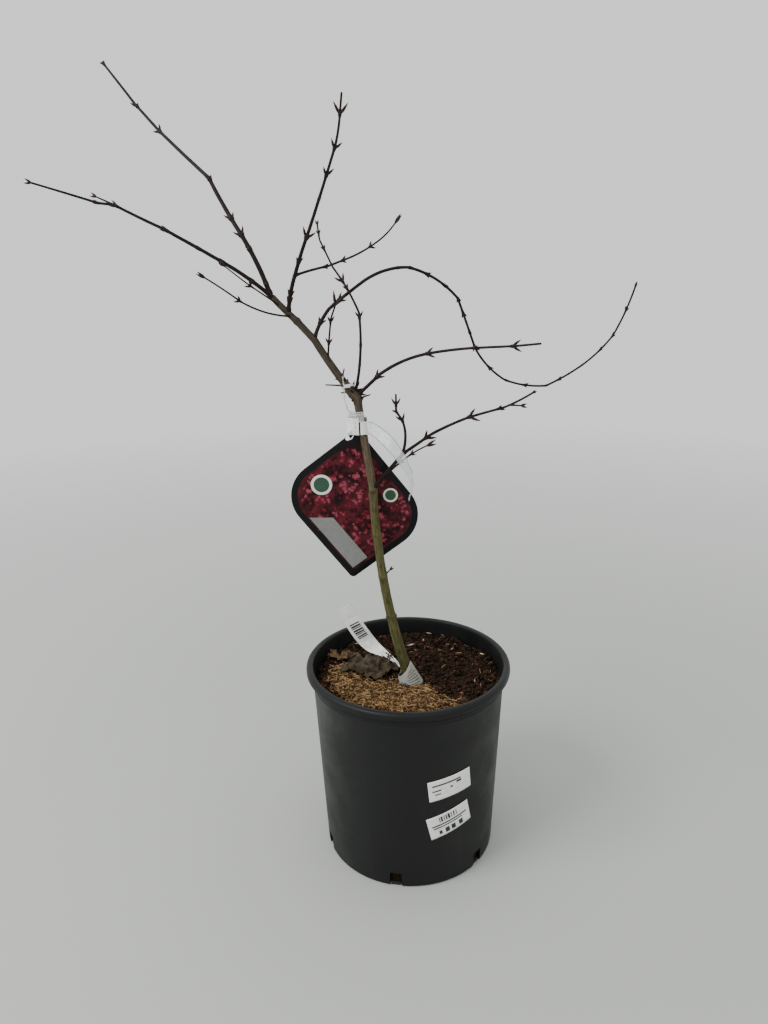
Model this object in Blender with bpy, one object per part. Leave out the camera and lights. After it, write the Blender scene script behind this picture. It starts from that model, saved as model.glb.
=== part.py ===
"""Potted japanese maple, bare in winter: a young grafted plant in a round nursery pot.

Metres, +Z up. The origin is the centre of the pot's flat underside. Sizes below are in
millimetres and degrees, and MM turns them into metres. A bearing is a compass angle seen
from above, 0 along +X and 90 along +Y. A rise is the angle above the level.
"""
import math
import random

import bmesh
import bpy
from mathutils import Matrix, Vector, noise

MM = 0.001
GAP = 0.3
SEED = 7

# ---- pot ----
POT_HEIGHT = 222.0
RIM_RADIUS = 115.5
RIM_INNER_RADIUS = 108.0
LIP_HEIGHT = 8.0
WALL_TOP_RADIUS = 108.6
FOOT_RADIUS = 97.2
WALL = 1.8
FLOOR = 2.6
POT_SIDES = 48
NOTCHES = 6
FIRST_NOTCH_BEARING = -101.0
NOTCH_WIDTH = 13.0
NOTCH_HEIGHT = 17.0
NOTCH_DEPTH = 9.0
FOOT_ROUND = 2.0
RIDGE = 1.2
RIDGE_HEIGHT = 3.6
LIP_UNDER_ROUND = 1.8
LIP_TOP_ROUND = 3.6
LIP_INNER_ROUND = 2.4

# ---- soil ----
SOIL_LEVEL = 203.0
SOIL_BUMP = 3.5
SOIL_BUMP_WIDTH = 17.0
SOIL_RINGS = 9
SOIL_SIDES = 36
LEVEL_EDGE = 12.0
LEVEL_ROUND_TRUNK = 18.0
LEVEL_ROUND_LEAF = 38.0
LEAF_CENTRE = (-42.0, 12.0)
LEAF_LENGTH = 62.0
LEAF_WIDTH = 48.0
LEAF_THICKNESS = 1.8
LEAF_CRUMPLE = 3.2

# ---- trunk: foot at the soil, named diameters along it ----
TRUNK_FOOT = (3.0, -15.0)
TRUNK_FOOT_DIAMETER = 13.2
TRUNK_WAIST_DIAMETER = 8.2
TRUNK_FORK_DIAMETER = 6.4
TRUNK_TAPER_LENGTH = 100.0
ROOT_FLARE = 4.4
ROOT_FLARE_HEIGHT = 8.0
GRAFT_UNION_AT = 333.0
GRAFT_UNION_SWELL = 3.2
GRAFT_UNION_REACH = 9.0
TRUNK_KNOT_SWELL = 0.12
TRUNK_KNOTS = (82, 129, 177, 229, 427)
TRUNK_SIDES = 12

# ---- shoots ----
KNOT_SWELL = 0.24
KNOT_SWELL_REACH = 2.2
KNOT_REACH = 3.0
RING_STEP = 30.0
BEND_STEP = 9.0
BOUGH_SIDES = 8
TWIG_SIDES = 6
TWIG_START_INSIDE_BOUGH = 1.5
BUD_LENGTH = 8.0
BUD_RADIUS = 1.15
BUD_SPREAD = 38.0
BUD_LUCK = (0.92, 1.08)
END_BUDS_INSIDE = 1.2
FIRST_BUDS_AFTER = 6.0
SIDE_TWIG_RADIUS = 1.0
SIDE_TWIG_BUDS = (0.8, 0, 22)

# ---- tag, its tie, and the labels ----
TAG_OFFSET = (-5.3, 10.6, -92.8)
TAG_WIDTH = 132.0
TAG_HEIGHT = 112.0
TAG_TURN = -53.0
TAG_LEAN = 4.0
TAG_THICKNESS = 0.8
TAG_ROUND_CORNER = 40.0
TAG_SHARP_CORNER = 5.0
TAG_TIP_CUT = 6.5
TIE_AT = 300.0
TIE_OFFSET = (-4.5, 0.3, 0.8)
TIE_HEIGHT = 23.6
TIE_HALF_WIDTH = 11.1
TIE_HALF_DEPTH = 5.8
TIE_SIDES = 20
FILM = 0.6
STICKER = 0.4
PAPER = 0.6

# ---- paper label at the trunk's foot: a cone round it, and the strip that leaves the cone ----
CUFF_FOOT_RADIUS = 13.8
CUFF_TOP_CLEARANCE = 0.8
CUFF_LOW_SIDE = 7.0
CUFF_HIGH_SIDE = 25.0
CUFF_HIGH_BEARING = -12.0
CUFF_SIDES = 20

# Flat strips: points on the strip's middle line, the direction of its width at each point, and
# the width there. The tail and the film are placed from the middle of the tie.
TAIL = [
    ((12.1, -1.6, -5), (0, 0, 1), 13), ((18.5, -16, -5), (0.2, 0.2, 1), 13),
    ((34, -30, -17), (0.5, 0.3, 0.7), 13), ((50, -35, -41), (0.4, 0.8, 0.3), 12),
    ((55, -28, -63), (0.2, 1, 0.1), 11), ((52, -16, -79), (0.1, 1, 0.1), 11),
]
FILM_END = [
    ((-8, -3.6, 12.4), (0, 1, 0), 6), ((-11, -5.6, 23), (0, 1, 0), 6),
    ((-12.4, -6.4, 37), (0, 1, 0), 6), ((-13, -5.7, 50), (0, 1, 0), 5.5),
]
LABEL_STRIP = [
    ((-4.4, -3.3, 209.5), (0.06, -0.12, 1), 7), ((-14, 14, 212), (0.8, 0.4, 0.5), 7),
    ((-26, 34, 211.5), (0.5, 0.6, 0.5), 12), ((-42, 42, 219), (0.9, 0.4, 0.5), 19),
    ((-57, 41, 240), (1, 0.1, 0.5), 20), ((-73, 40, 270), (1, 0, 0.5), 18),
]

# Blank stickers on the pot: bearing and height of the middle, width, height, turn in its plane.
STICKERS = {
    "sticker_upper": (-67.0, 125.5, 50.0, 25.0, 7.0),
    "sticker_lower": (-66.5, 80.5, 50.0, 28.0, 14.0),
}

# finish: linear colour, roughness
FINISHES = {
    "pot_plastic": ((0.018, 0.021, 0.020), 0.5),
    "potting_bark": ((0.085, 0.045, 0.026), 0.95),
    "trunk_bark": ((0.115, 0.105, 0.042), 0.75),
    "shoot_bark": ((0.052, 0.030, 0.026), 0.6),
    "tag_card": ((0.025, 0.024, 0.024), 0.4),
    "clear_film": ((0.78, 0.79, 0.80), 0.2),
    "white_label": ((0.80, 0.80, 0.79), 0.55),
    "dead_leaf": ((0.060, 0.047, 0.036), 0.9),
}

# A stretch is (length mm, rise at its start, rise at its end, bearing), and a limb kinks a
# little where one ends and the next begins.
TRUNK_STRETCHES = [
    (82, 71, 79, 175), (95, 78, 85, 171), (52, 83, 90, 170), (98, 81, 82, 173),
    (13, 47, 47, 160), (60, 52, 60, 176), (27, 47, 47, 170), (36, 43, 47, 174),
]

# shoot: parent, distance along the parent, diameter at its base and tip, how many stretches
# are its plain bough (the rest are its twigs), then the stretches.
SHOOTS = {
    "upper_left": ("trunk", 463, 5.2, 2.2, 2, [
        (71, 70, 56, 158), (65, 52, 59, 147), (91, 35, 37, 143), (41, 43, 43, 150), (60, 50, 49, 157)]),
    "left": ("trunk", 459, 4.4, 1.7, 3, [
        (62, 43, 30, 200), (25, 31, 31, 192), (37, 30, 30, 197), (47, 25, 29, 190), (14, 6, 6, 196),
        (59, 17, 16, 203)]),
    "left_thin": ("trunk", 447, 1.9, 1.3, 0, [(43, 33, 33, 214), (30, 38, 38, 206)]),
    "low_left": ("trunk", 434, 2.2, 1.5, 0, [(71, 3, 26, 232), (42, 35, 30, 219)]),
    "upright": ("trunk", 438, 4.4, 1.6, 2, [
        (43, 77, 46, -60), (42, 64, 55, -46), (90, 53, 56, -53), (27, 66, 82, -45), (16, 75, 75, -60)]),
    "inner_right": ("upright", 43, 2.7, 1.8, 1, [
        (40, 16, 8, 38), (27, 15, 15, 46), (54, 13, 23, 54), (38, 26, 46, 42)]),
    "arching_rise": ("trunk", 401, 3.6, 2.9, 3, [(35, 74, 50, 8), (42, 38, 34, 14), (55, 34, -3, 20)]),
    "arching_fall": ("arching_rise", 132, 2.9, 2.2, 3, [
        (68, -13, -46, 24), (57, -68, -69, 20), (53, -61, -31, 14)]),
    "arching_tip": ("arching_fall", 178, 2.2, 1.7, 0, [
        (50, -22, 2, 10), (52, 19, 31, 17), (52, 28, 44, 26), (61, 56, 70, 22)]),
    "centre": ("trunk", 331, 2.9, 1.4, 1, [
        (86, 115, 81, 125), (52, 66, 50, 156), (30, 64, 63, 160), (16, 79, 79, 130)]),
    "short_centre": ("trunk", 376, 2.2, 1.8, 0, [(21, 73, 73, -70), (23, 77, 77, -55), (16, 68, 68, -20)]),
    "right": ("trunk", 329, 3.6, 1.8, 2, [
        (35, 42, 42, -18), (61, 35, 10, -25), (47, 11, 5, -32), (40, 4, 4, -27), (26, 7, 7, -35)]),
    "low": ("trunk", 229, 4.4, 3.8, 1, [(58, 48, 48, -35)]),
    "low_up": ("low", 56, 2.9, 1.5, 0, [(38, 116, 64, 212), (10, 55, 55, 190), (18, 90, 90, 215)]),
    "low_right": ("low", 58, 3.0, 1.4, 0, [
        (44, 34, 34, -41), (45, 30, 23, -32), (40, 19, 19, -38), (31, 25, 34, -28)]),
    "low_thin": ("low", 20, 1.8, 1.2, 0, [(23, 36, 36, 18), (39, 30, 12, 32)]),
    "union_left": ("trunk", 344, 2.0, 1.3, 0, [(22, 4, 4, 185)]),
    "union_up": ("trunk", 352, 2.0, 1.4, 0, [(14, 47, 47, 75)]),
    "union_right": ("trunk", 326, 2.2, 1.3, 0, [(17, 20, 20, -30)]),
    "trunk_sprig": ("trunk", 129, 1.7, 1.2, 0, [(12, 39, 39, 20)]),
}

# A knot is (distance along the shoot, size of its buds, turn of the pair). Turn 0 spreads the
# two buds to the left and the right in the front view, and 90 to the front and the back.
KNOTS = {
    "upper_left": [(12, 0.5, 90), (51, 0.55, 60), (68, 1.0, 0), (88, 0.9, 30), (135, 0.85, 20),
                   (225, 1.05, 0), (265, 0.9, 30)],
    "left": [(27, 0.5, 60), (61, 0.6, 60), (87, 0.6, 30), (120, 0.8, 20), (169, 0.9, 30),
             (186, 0.55, 60)],
    "left_thin": [(39, 0.95, 0)],
    "low_left": [(71, 0.85, 0)],
    "upright": [(15, 0.45, 0), (22, 0.5, 0), (41, 0.6, 90), (58, 0.6, 40), (84, 1.2, 0),
                (124, 0.6, 90), (148, 1.1, 30), (173, 1.15, 0), (201, 1.4, 10)],
    "inner_right": [(37, 0.6, 30), (62, 0.85, 20), (111, 1.1, 0)],
    "arching_rise": [(19, 0.75, 0), (41, 0.4, 90), (49, 0.9, 20), (119, 0.35, 90)],
    "arching_fall": [(23, 0.55, 0), (46, 0.6, 60), (69, 0.5, 0), (86, 0.55, 0), (106, 0.5, 60),
                     (125, 0.6, 0), (154, 0.6, 30)],
    "arching_tip": [(24, 0.6, 30), (50, 0.4, 60), (67, 0.6, 30), (100, 0.5, 60), (130, 0.5, 30),
                    (153, 0.6, 30), (186, 0.7, 30)],
    "centre": [(33, 0.35, 90), (54, 0.4, 60), (82, 0.85, 0), (113, 0.6, 0), (121, 1.2, 20),
               (158, 0.6, 0), (174, 0.5, 0)],
    "short_centre": [(19, 0.85, 0), (41, 0.9, 30)],
    "right": [(32, 1.0, 0), (93, 0.95, 0), (143, 0.7, 45), (181, 1.2, 0)],
    "low_up": [(37, 0.95, 0), (48, 0.6, 30), (55, 1.0, 0)],
    "low_right": [(36, 1.3, 15), (90, 1.5, 0), (123, 0.7, 30)],
    "low_thin": [(23, 0.7, 0), (39, 0.8, 0)],
}

# The pair at a shoot's end: size, turn and spread. A shoot that isn't listed ends blunt.
END_BUDS = {
    "left": (0.8, 0, 26),
    "left_thin": (0.8, 60, 26),
    "low_left": (1.15, 20, 12),
    "inner_right": (1.7, 20, 8),
    "centre": (0.6, 0, 26),
    "short_centre": (1.8, 0, 30),
    "arching_tip": (0.9, 20, 10),
    "low_right": (0.5, 30, 26),
    "low_thin": (1.6, 10, 16),
    "trunk_sprig": (0.6, 0, 26),
}

# Shoots that leave their parent beside another shoot, and are cut clear of it too.
NEIGHBOURS = {
    "left": "upper_left",
    "left_thin": "left",
    "low_right": "low_up",
    "union_right": "right",
}

# Twigs that fork off a shoot's own stem: (shoot, distance along it, bearing, length, rise).
SIDE_TWIGS = [
    ("left", 171, 171, 20, 24),
    ("low_right", 134, -39, 13, 3),
]


# ---------------------------------------------------------------- scene helpers
def clear_scene():
    for old in list(bpy.data.objects):
        bpy.data.objects.remove(old, do_unlink=True)


def add_object(name, data, parent=None):
    obj = bpy.data.objects.new(name, data)
    bpy.context.scene.collection.objects.link(obj)
    obj.parent = parent
    return obj


def paint(obj, finish):
    """Give an object a material of its own."""
    colour, roughness = FINISHES[finish]
    made = bpy.data.materials.new(f"{obj.name}_{finish}")
    made.use_nodes = True
    made.diffuse_color = (*colour, 1.0)
    shader = made.node_tree.nodes["Principled BSDF"]
    shader.inputs["Base Color"].default_value = (*colour, 1.0)
    shader.inputs["Roughness"].default_value = roughness
    shader.inputs["Metallic"].default_value = 0.0
    obj.data.materials.clear()
    obj.data.materials.append(made)


def evaluated_mesh(obj):
    bpy.context.view_layer.update()
    graph = bpy.context.evaluated_depsgraph_get()
    return bpy.data.meshes.new_from_object(obj.evaluated_get(graph))


def drop(obj):
    bpy.data.objects.remove(obj, do_unlink=True)


def mesh_from(bm, name, outward=True):
    if outward:
        bmesh.ops.recalc_face_normals(bm, faces=bm.faces)
    mesh = bpy.data.meshes.new(name)
    bm.to_mesh(mesh)
    bm.free()
    return mesh


def keep_largest_body(mesh):
    """Drop the loose scraps that a cut can leave behind."""
    bm = bmesh.new()
    bm.from_mesh(mesh)
    left = set(bm.verts)
    bodies = []
    while left:
        stack = [left.pop()]
        body = set(stack)
        while stack:
            for edge in stack.pop().link_edges:
                for vert in edge.verts:
                    if vert not in body:
                        body.add(vert)
                        stack.append(vert)
        left -= body
        bodies.append(body)
    bodies.sort(key=len)
    scraps = [vert for body in bodies[:-1] for vert in body]
    bmesh.ops.delete(bm, geom=scraps, context="VERTS")
    bm.to_mesh(mesh)
    bm.free()
    return mesh


def boolean(base, others, operation):
    """One Boolean on a collection, applied; the collection's objects are then removed."""
    group = bpy.data.collections.new("operands")
    bpy.context.scene.collection.children.link(group)
    for other in others:
        group.objects.link(other)
        other.hide_render = True
        other.display_type = "WIRE"
    step = base.modifiers.new("Join", "BOOLEAN")
    step.operation = operation
    step.operand_type = "COLLECTION"
    step.collection = group
    step.solver = "EXACT"
    mesh = keep_largest_body(evaluated_mesh(base))
    base.modifiers.clear()
    base.data = mesh
    for other in others:
        drop(other)
    bpy.data.collections.remove(group)
    return base


def shade(obj, angle):
    obj.data.shade_smooth()
    obj.data.set_sharp_from_angle(angle=math.radians(angle))


def made_verts(result):
    """The new vertices in what a bmesh extrude returns."""
    return [item for item in result["geom"] if isinstance(item, bmesh.types.BMVert)]


# ---------------------------------------------------------------- limbs
def direction(bearing, rise):
    across = math.cos(math.radians(rise))
    return Vector((across * math.cos(math.radians(bearing)),
                   across * math.sin(math.radians(bearing)),
                   math.sin(math.radians(rise))))


class Limb:
    """A limb's centre line in millimetres: points, distances along it, and its knots."""

    rings = ()

    def __init__(self, start, stretches, base, tip, knots):
        self.points = [Vector(start)]
        self.along = [0.0]
        self.knots = knots
        self.base = base
        self.tip = tip
        for length, rise_from, rise_to, bearing in stretches:
            bend = abs(rise_to - rise_from)
            steps = max(2, math.ceil(bend / BEND_STEP), math.ceil(length / RING_STEP))
            for step in range(steps):
                rise = rise_from + (rise_to - rise_from) * (step + 0.5) / steps
                self.points.append(self.points[-1] + direction(bearing, rise) * (length / steps))
                self.along.append(self.along[-1] + length / steps)
        self.length = self.along[-1]

    def place(self, distance):
        """The point and the direction at a distance along the limb."""
        for index in range(len(self.along) - 1):
            if distance <= self.along[index + 1] or index == len(self.along) - 2:
                first, last = self.points[index], self.points[index + 1]
                share = (distance - self.along[index]) / (self.along[index + 1] - self.along[index])
                return first.lerp(last, share), (last - first).normalized()
        raise ValueError("empty limb")

    def swelling(self, distance):
        """1 at a knot, falling to 0 on both sides of it."""
        return sum(math.exp(-((distance - knot) / KNOT_SWELL_REACH) ** 2) for knot in self.knots)

    def radius(self, distance):
        plain = self.base + (self.tip - self.base) * distance / self.length
        return 0.5 * plain * (1.0 + KNOT_SWELL * self.swelling(distance))

    def stations(self, first, last):
        """Distances from first to last, with a tight group of rings at each knot."""
        tight = [knot + side * KNOT_REACH for knot in self.knots for side in (-1, 0, 1)]
        plain = [mark for mark in (*self.along, *self.rings)
                 if all(abs(mark - knot) > KNOT_REACH + 1.0 for knot in self.knots)]
        marks = [first]
        for mark in sorted(tight + plain):
            if mark > marks[-1] + 1.0 and mark < last - 1.0:
                marks.append(mark)
        return marks + [last]


class Trunk(Limb):
    """The trunk, whose own rings follow the root flare and the swollen graft union."""

    rings = [ROOT_FLARE_HEIGHT * share for share in (0.3, 0.7, 1.2, 1.9, 3.0, 5.0)]
    rings += [GRAFT_UNION_AT + GRAFT_UNION_REACH * share for share in (-1.3, 0.0, 1.6)]

    def radius(self, distance):
        height = max(distance, 0.0)
        taper = (TRUNK_FOOT_DIAMETER - TRUNK_WAIST_DIAMETER) * math.exp(-height / TRUNK_TAPER_LENGTH)
        above = max(0.0, height - GRAFT_UNION_AT) / (self.length - GRAFT_UNION_AT)
        plain = TRUNK_WAIST_DIAMETER + taper + (TRUNK_FORK_DIAMETER - TRUNK_WAIST_DIAMETER) * above
        flare = ROOT_FLARE * math.exp(-height / ROOT_FLARE_HEIGHT)
        union = GRAFT_UNION_SWELL * math.exp(-((height - GRAFT_UNION_AT) / GRAFT_UNION_REACH) ** 2)
        knots = TRUNK_KNOT_SWELL * plain * self.swelling(height)
        return 0.5 * (plain + flare + union + knots)


def tube(name, limb, first, last, sides, grow=0.0):
    """A closed tapering tube round part of a limb, thicker by grow on every side."""
    curve = bpy.data.curves.new(name, "CURVE")
    curve.dimensions = "3D"
    curve.bevel_depth = 1.0
    curve.bevel_resolution = (sides - 4) // 2
    curve.use_fill_caps = True
    curve.twist_mode = "MINIMUM"
    marks = limb.stations(first, last)
    spline = curve.splines.new("POLY")
    spline.points.add(len(marks) - 1)
    for point, mark in zip(spline.points, marks):
        centre, heading = limb.place(mark)
        if mark == marks[0]:
            centre = centre - heading * grow
        if mark == marks[-1]:
            centre = centre + heading * grow
        point.co = (*(centre * MM), 1.0)
        point.radius = (limb.radius(mark) + grow) * MM
    guide = add_object(name + "_path", curve)
    mesh = evaluated_mesh(guide)
    drop(guide)
    mesh.name = name
    return add_object(name, mesh)


def taper_solid(name, start, heading, rings, sides=4):
    """A small closed solid of (distance, radius) rings along a heading, for buds and twigs."""
    bm = bmesh.new()
    turn = heading.to_track_quat("Z", "Y").to_matrix().to_4x4()
    previous = []
    for distance, radius in rings:
        place = Matrix.Translation((start + heading * distance) * MM) @ turn
        made = bmesh.ops.create_circle(bm, segments=sides, radius=radius * MM, matrix=place)["verts"]
        loop = list({edge for vert in made for edge in vert.link_edges})
        if previous:
            bmesh.ops.bridge_loops(bm, edges=previous + loop)
        else:
            bmesh.ops.contextual_create(bm, geom=made)
        previous = loop
    bmesh.ops.contextual_create(bm, geom=made)
    return add_object(name, mesh_from(bm, name))


def bud(name, start, heading, size):
    length = BUD_LENGTH * size
    wide = BUD_RADIUS * (0.6 + 0.4 * size)
    rings = [(0.0, 0.75 * wide), (0.5 * length, wide), (length, 0.14 * wide)]
    return taper_solid(name, start, heading, rings)


def bud_pair(name, centre, heading, size, turn, spread=BUD_SPREAD):
    """Two opposite buds on a stem; turn swings the pair about the stem, from left and right."""
    side = heading.cross(Vector((0.0, 1.0, 0.0)))
    side = Matrix.Rotation(math.radians(turn), 3, heading) @ side.normalized()
    lean = math.radians(spread)
    ways = [heading * math.cos(lean) + side * sign * math.sin(lean) for sign in (1, -1)]
    return [bud(f"{name}_{index}", centre, way, size) for index, way in enumerate(ways)]


def twig_buds(name, shoot, limb, first, luck):
    """The buds on a shoot's outer part: a pair at each knot, and for most shoots at the end."""
    parts = []
    for distance, size, turn in KNOTS.get(shoot, ()):
        if distance > first + FIRST_BUDS_AFTER:
            centre, heading = limb.place(distance)
            size *= luck.uniform(*BUD_LUCK)
            parts += bud_pair(f"{name}_knot{distance}", centre, heading, size, turn)
    if shoot in END_BUDS:
        end, heading = limb.place(limb.length - END_BUDS_INSIDE)
        parts += bud_pair(name + "_end", end, heading, *END_BUDS[shoot])
    return parts


def side_twigs(name, shoot, limb):
    """Short twigs that fork off the shoot, each with a pair of buds at its end."""
    parts = []
    for owner, distance, bearing, length, rise in SIDE_TWIGS:
        if owner != shoot:
            continue
        centre, _ = limb.place(distance)
        heading = direction(bearing, rise)
        thick = min(SIDE_TWIG_RADIUS, limb.radius(distance))
        rings = [(0.0, thick), (length * 0.5, 0.85 * thick), (length, 0.7 * thick)]
        label = f"{name}_side{distance}"
        parts.append(taper_solid(label, centre, heading, rings, sides=5))
        tip = centre + heading * (length - END_BUDS_INSIDE)
        parts += bud_pair(label, tip, heading, *SIDE_TWIG_BUDS)
    return parts


def lay_out_limbs():
    """Every limb's centre line: the trunk's, then the shoots', each starting on its parent's."""
    foot = (*TRUNK_FOOT, SOIL_LEVEL)
    trunk = Trunk(foot, TRUNK_STRETCHES, TRUNK_FOOT_DIAMETER, TRUNK_FORK_DIAMETER, TRUNK_KNOTS)
    limbs = {"trunk": trunk}
    for shoot, (parent, distance, base, tip, _, stretches) in SHOOTS.items():
        start, _ = limbs[parent].place(distance)
        knots = [knot[0] for knot in KNOTS.get(shoot, ())]
        limbs[shoot] = Limb(start, stretches, base, tip, knots)
    return limbs


def below_ground(name):
    """A cutter that leaves what stands on the soil, with the gap under it."""
    size = 80.0
    return add_object(name, box_mesh(size, size, size, (*TRUNK_FOOT, SOIL_LEVEL + GAP - size / 2.0)))


def build_trunk(trunk):
    """The trunk, run on below the soil and then cut flat at its level."""
    body = tube("trunk", trunk, 0.0, trunk.length, TRUNK_SIDES)
    root, heading = trunk.place(0.0)
    foot = trunk.radius(0.0)
    below = 8.0
    flare = taper_solid("root_flare", root - heading * below, heading,
                        [(0.0, foot + 1.2), (below + 0.4, foot)], sides=TRUNK_SIDES)
    boolean(body, [flare], "UNION")
    boolean(body, [below_ground("ground_cut")], "DIFFERENCE")
    paint(body, "trunk_bark")
    shade(body, 50.0)


def build_bough(shoot, limbs, split, carriers):
    bough = tube("bough_" + shoot, limbs[shoot], 0.0, split, BOUGH_SIDES)
    return boolean(bough, carriers, "DIFFERENCE")


def build_twigs(shoot, limbs, split, carriers):
    """A mass of bare twigs: the shoot's outer stem with its buds and side twigs fused on."""
    name = "twigs_" + shoot
    limb = limbs[shoot]
    stem = tube(name, limb, max(0.0, split - TWIG_START_INSIDE_BOUGH), limb.length, TWIG_SIDES)
    parts = twig_buds(name, shoot, limb, split, random.Random(f"{SEED} {shoot}"))
    parts += side_twigs(name, shoot, limb)
    if parts:
        boolean(stem, parts, "UNION")
    return boolean(stem, carriers, "DIFFERENCE")


def build_shoots(limbs):
    """Each shoot's plain bough, then its twigs, cut 0.3 mm clear of what they spring from."""
    sides = {"trunk": TRUNK_SIDES}

    def carrier(name, length):
        return tube(name + "_grown", limbs[name], 0.0, length, sides[name], grow=GAP)

    for shoot, (parent, _, _, _, plain, stretches) in SHOOTS.items():
        sides[shoot] = BOUGH_SIDES if plain else TWIG_SIDES
        split = sum(stretch[0] for stretch in stretches[:plain])
        near = {"trunk", parent, NEIGHBOURS.get(shoot, parent)}
        carriers = [carrier(name, limbs[name].length) for name in sorted(near)]
        bodies = []
        if plain:
            bodies.append(build_bough(shoot, limbs, split, carriers))
        if plain and plain < len(stretches):
            carriers = [carrier(shoot, split)]
        if plain < len(stretches):
            bodies.append(build_twigs(shoot, limbs, split, carriers))
        for body in bodies:
            paint(body, "shoot_bark")
            shade(body, 50.0)


# ---------------------------------------------------------------- pot and soil
def box_mesh(size_x, size_y, size_z, centre, turn=0.0):
    bm = bmesh.new()
    place = (Matrix.Translation(Vector(centre) * MM) @ Matrix.Rotation(math.radians(turn), 4, "Z")
             @ Matrix.Diagonal((size_x * MM, size_y * MM, size_z * MM, 1.0)))
    bmesh.ops.create_cube(bm, size=1.0, matrix=place)
    return mesh_from(bm, "box")


def turned(name, profile, sides):
    """Spin a closed (radius, height) profile round the Z axis; its ends may lie on the axis."""
    bm = bmesh.new()
    verts = [bm.verts.new((radius * MM, 0.0, height * MM)) for radius, height in profile]
    edges = [bm.edges.new(pair) for pair in zip(verts, verts[1:])]
    if profile[0][0] > 0.0:
        edges.append(bm.edges.new((verts[-1], verts[0])))
    bmesh.ops.spin(bm, geom=verts + edges, cent=(0, 0, 0), axis=(0, 0, 1), dvec=(0, 0, 0),
                   angle=math.tau, steps=sides, use_merge=True, use_duplicate=False)
    bmesh.ops.remove_doubles(bm, verts=bm.verts, dist=0.01 * MM)
    return add_object(name, mesh_from(bm, name))


def wall_radius(height):
    """Outer radius of the pot's wall, which flares evenly from the foot to under the lip."""
    return FOOT_RADIUS + (WALL_TOP_RADIUS - FOOT_RADIUS) * height / (POT_HEIGHT - LIP_HEIGHT)


def rounded(corners, steps=3):
    """A profile from (radius, height, round) corners, each round one turned into a short arc."""
    profile = []
    for index, (x, z, size) in enumerate(corners):
        corner = Vector((x, z))
        if size == 0.0:
            profile.append((x, z))
            continue
        back = (Vector(corners[index - 1][:2]) - corner).normalized()
        ahead = (Vector(corners[index + 1][:2]) - corner).normalized()
        half = back.angle(ahead) / 2.0
        centre = corner + (back + ahead).normalized() * (size / math.sin(half))
        first = corner + back * (size / math.tan(half)) - centre
        turn = first.angle_signed(corner + ahead * (size / math.tan(half)) - centre)
        for step in range(steps + 1):
            profile.append(tuple(centre + Matrix.Rotation(-turn * step / steps, 2) @ first))
    return profile


def build_pot():
    """The pot's turned wall and rolled lip, with drainage notches cut into the foot."""
    under_lip = POT_HEIGHT - LIP_HEIGHT
    ridge_low = under_lip - RIDGE_HEIGHT
    profile = rounded([
        (0.0, 0.0, 0.0),
        (FOOT_RADIUS, 0.0, FOOT_ROUND),
        (wall_radius(ridge_low) - 0.1, ridge_low - RIDGE, 0.0),
        (wall_radius(ridge_low) + RIDGE, ridge_low, 0.0),
        (wall_radius(under_lip) + RIDGE, under_lip, 0.0),
        (RIM_RADIUS, under_lip, LIP_UNDER_ROUND),
        (RIM_RADIUS, POT_HEIGHT, LIP_TOP_ROUND),
        (RIM_INNER_RADIUS, POT_HEIGHT, LIP_INNER_ROUND),
        (wall_radius(under_lip) - WALL, under_lip, 0.0),
        (FOOT_RADIUS - WALL, FLOOR, FOOT_ROUND),
        (0.0, FLOOR, 0.0),
    ])
    pot = turned("pot", profile, POT_SIDES)
    cutters = []
    for index in range(NOTCHES):
        bearing = FIRST_NOTCH_BEARING + index * 360.0 / NOTCHES
        outside = 6.0
        middle = direction(bearing, 0.0) * (FOOT_RADIUS - (NOTCH_DEPTH - outside) / 2.0)
        below = 4.0
        block = box_mesh(NOTCH_DEPTH + outside, NOTCH_WIDTH, NOTCH_HEIGHT + below,
                         (middle.x, middle.y, (NOTCH_HEIGHT - below) / 2.0), bearing)
        cutters.append(add_object(f"notch{index}", block))
    boolean(pot, cutters, "DIFFERENCE")
    paint(pot, "pot_plastic")
    shade(pot, 30.0)


def level_share(distance, level_radius):
    """0 inside the level spot, 1 well outside it."""
    return min(1.0, max(0.0, (distance - level_radius) / LEVEL_EDGE))


def soil_rise(x, y):
    """Bumps of the bark surface, level where the trunk and the dead leaf rest on it."""
    from_trunk = math.hypot(x - TRUNK_FOOT[0], y - TRUNK_FOOT[1])
    from_leaf = math.hypot((x - LEAF_CENTRE[0]) * LEAF_WIDTH / LEAF_LENGTH, y - LEAF_CENTRE[1])
    bump = noise.noise(Vector((x / SOIL_BUMP_WIDTH, y / SOIL_BUMP_WIDTH, SEED)))
    level = level_share(from_trunk, LEVEL_ROUND_TRUNK) * level_share(from_leaf, LEVEL_ROUND_LEAF)
    return SOIL_BUMP * level * bump


def build_soil():
    """Potting bark that fills the pot to its level."""
    inner = wall_radius(SOIL_LEVEL) - WALL - GAP
    foot = wall_radius(FLOOR) - WALL - GAP - FOOT_ROUND
    rings = [inner * (SOIL_RINGS - index) / SOIL_RINGS for index in range(SOIL_RINGS)]
    profile = [(0.0, FLOOR + GAP), (foot, FLOOR + GAP)]
    profile += [(radius, SOIL_LEVEL) for radius in rings] + [(0.0, SOIL_LEVEL)]
    soil = turned("soil", profile, SOIL_SIDES)
    for vert in soil.data.vertices:
        x, y, z = vert.co / MM
        if z > SOIL_LEVEL / 2.0:
            vert.co.z += soil_rise(x, y) * MM
    paint(soil, "potting_bark")
    shade(soil, 60.0)


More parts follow.
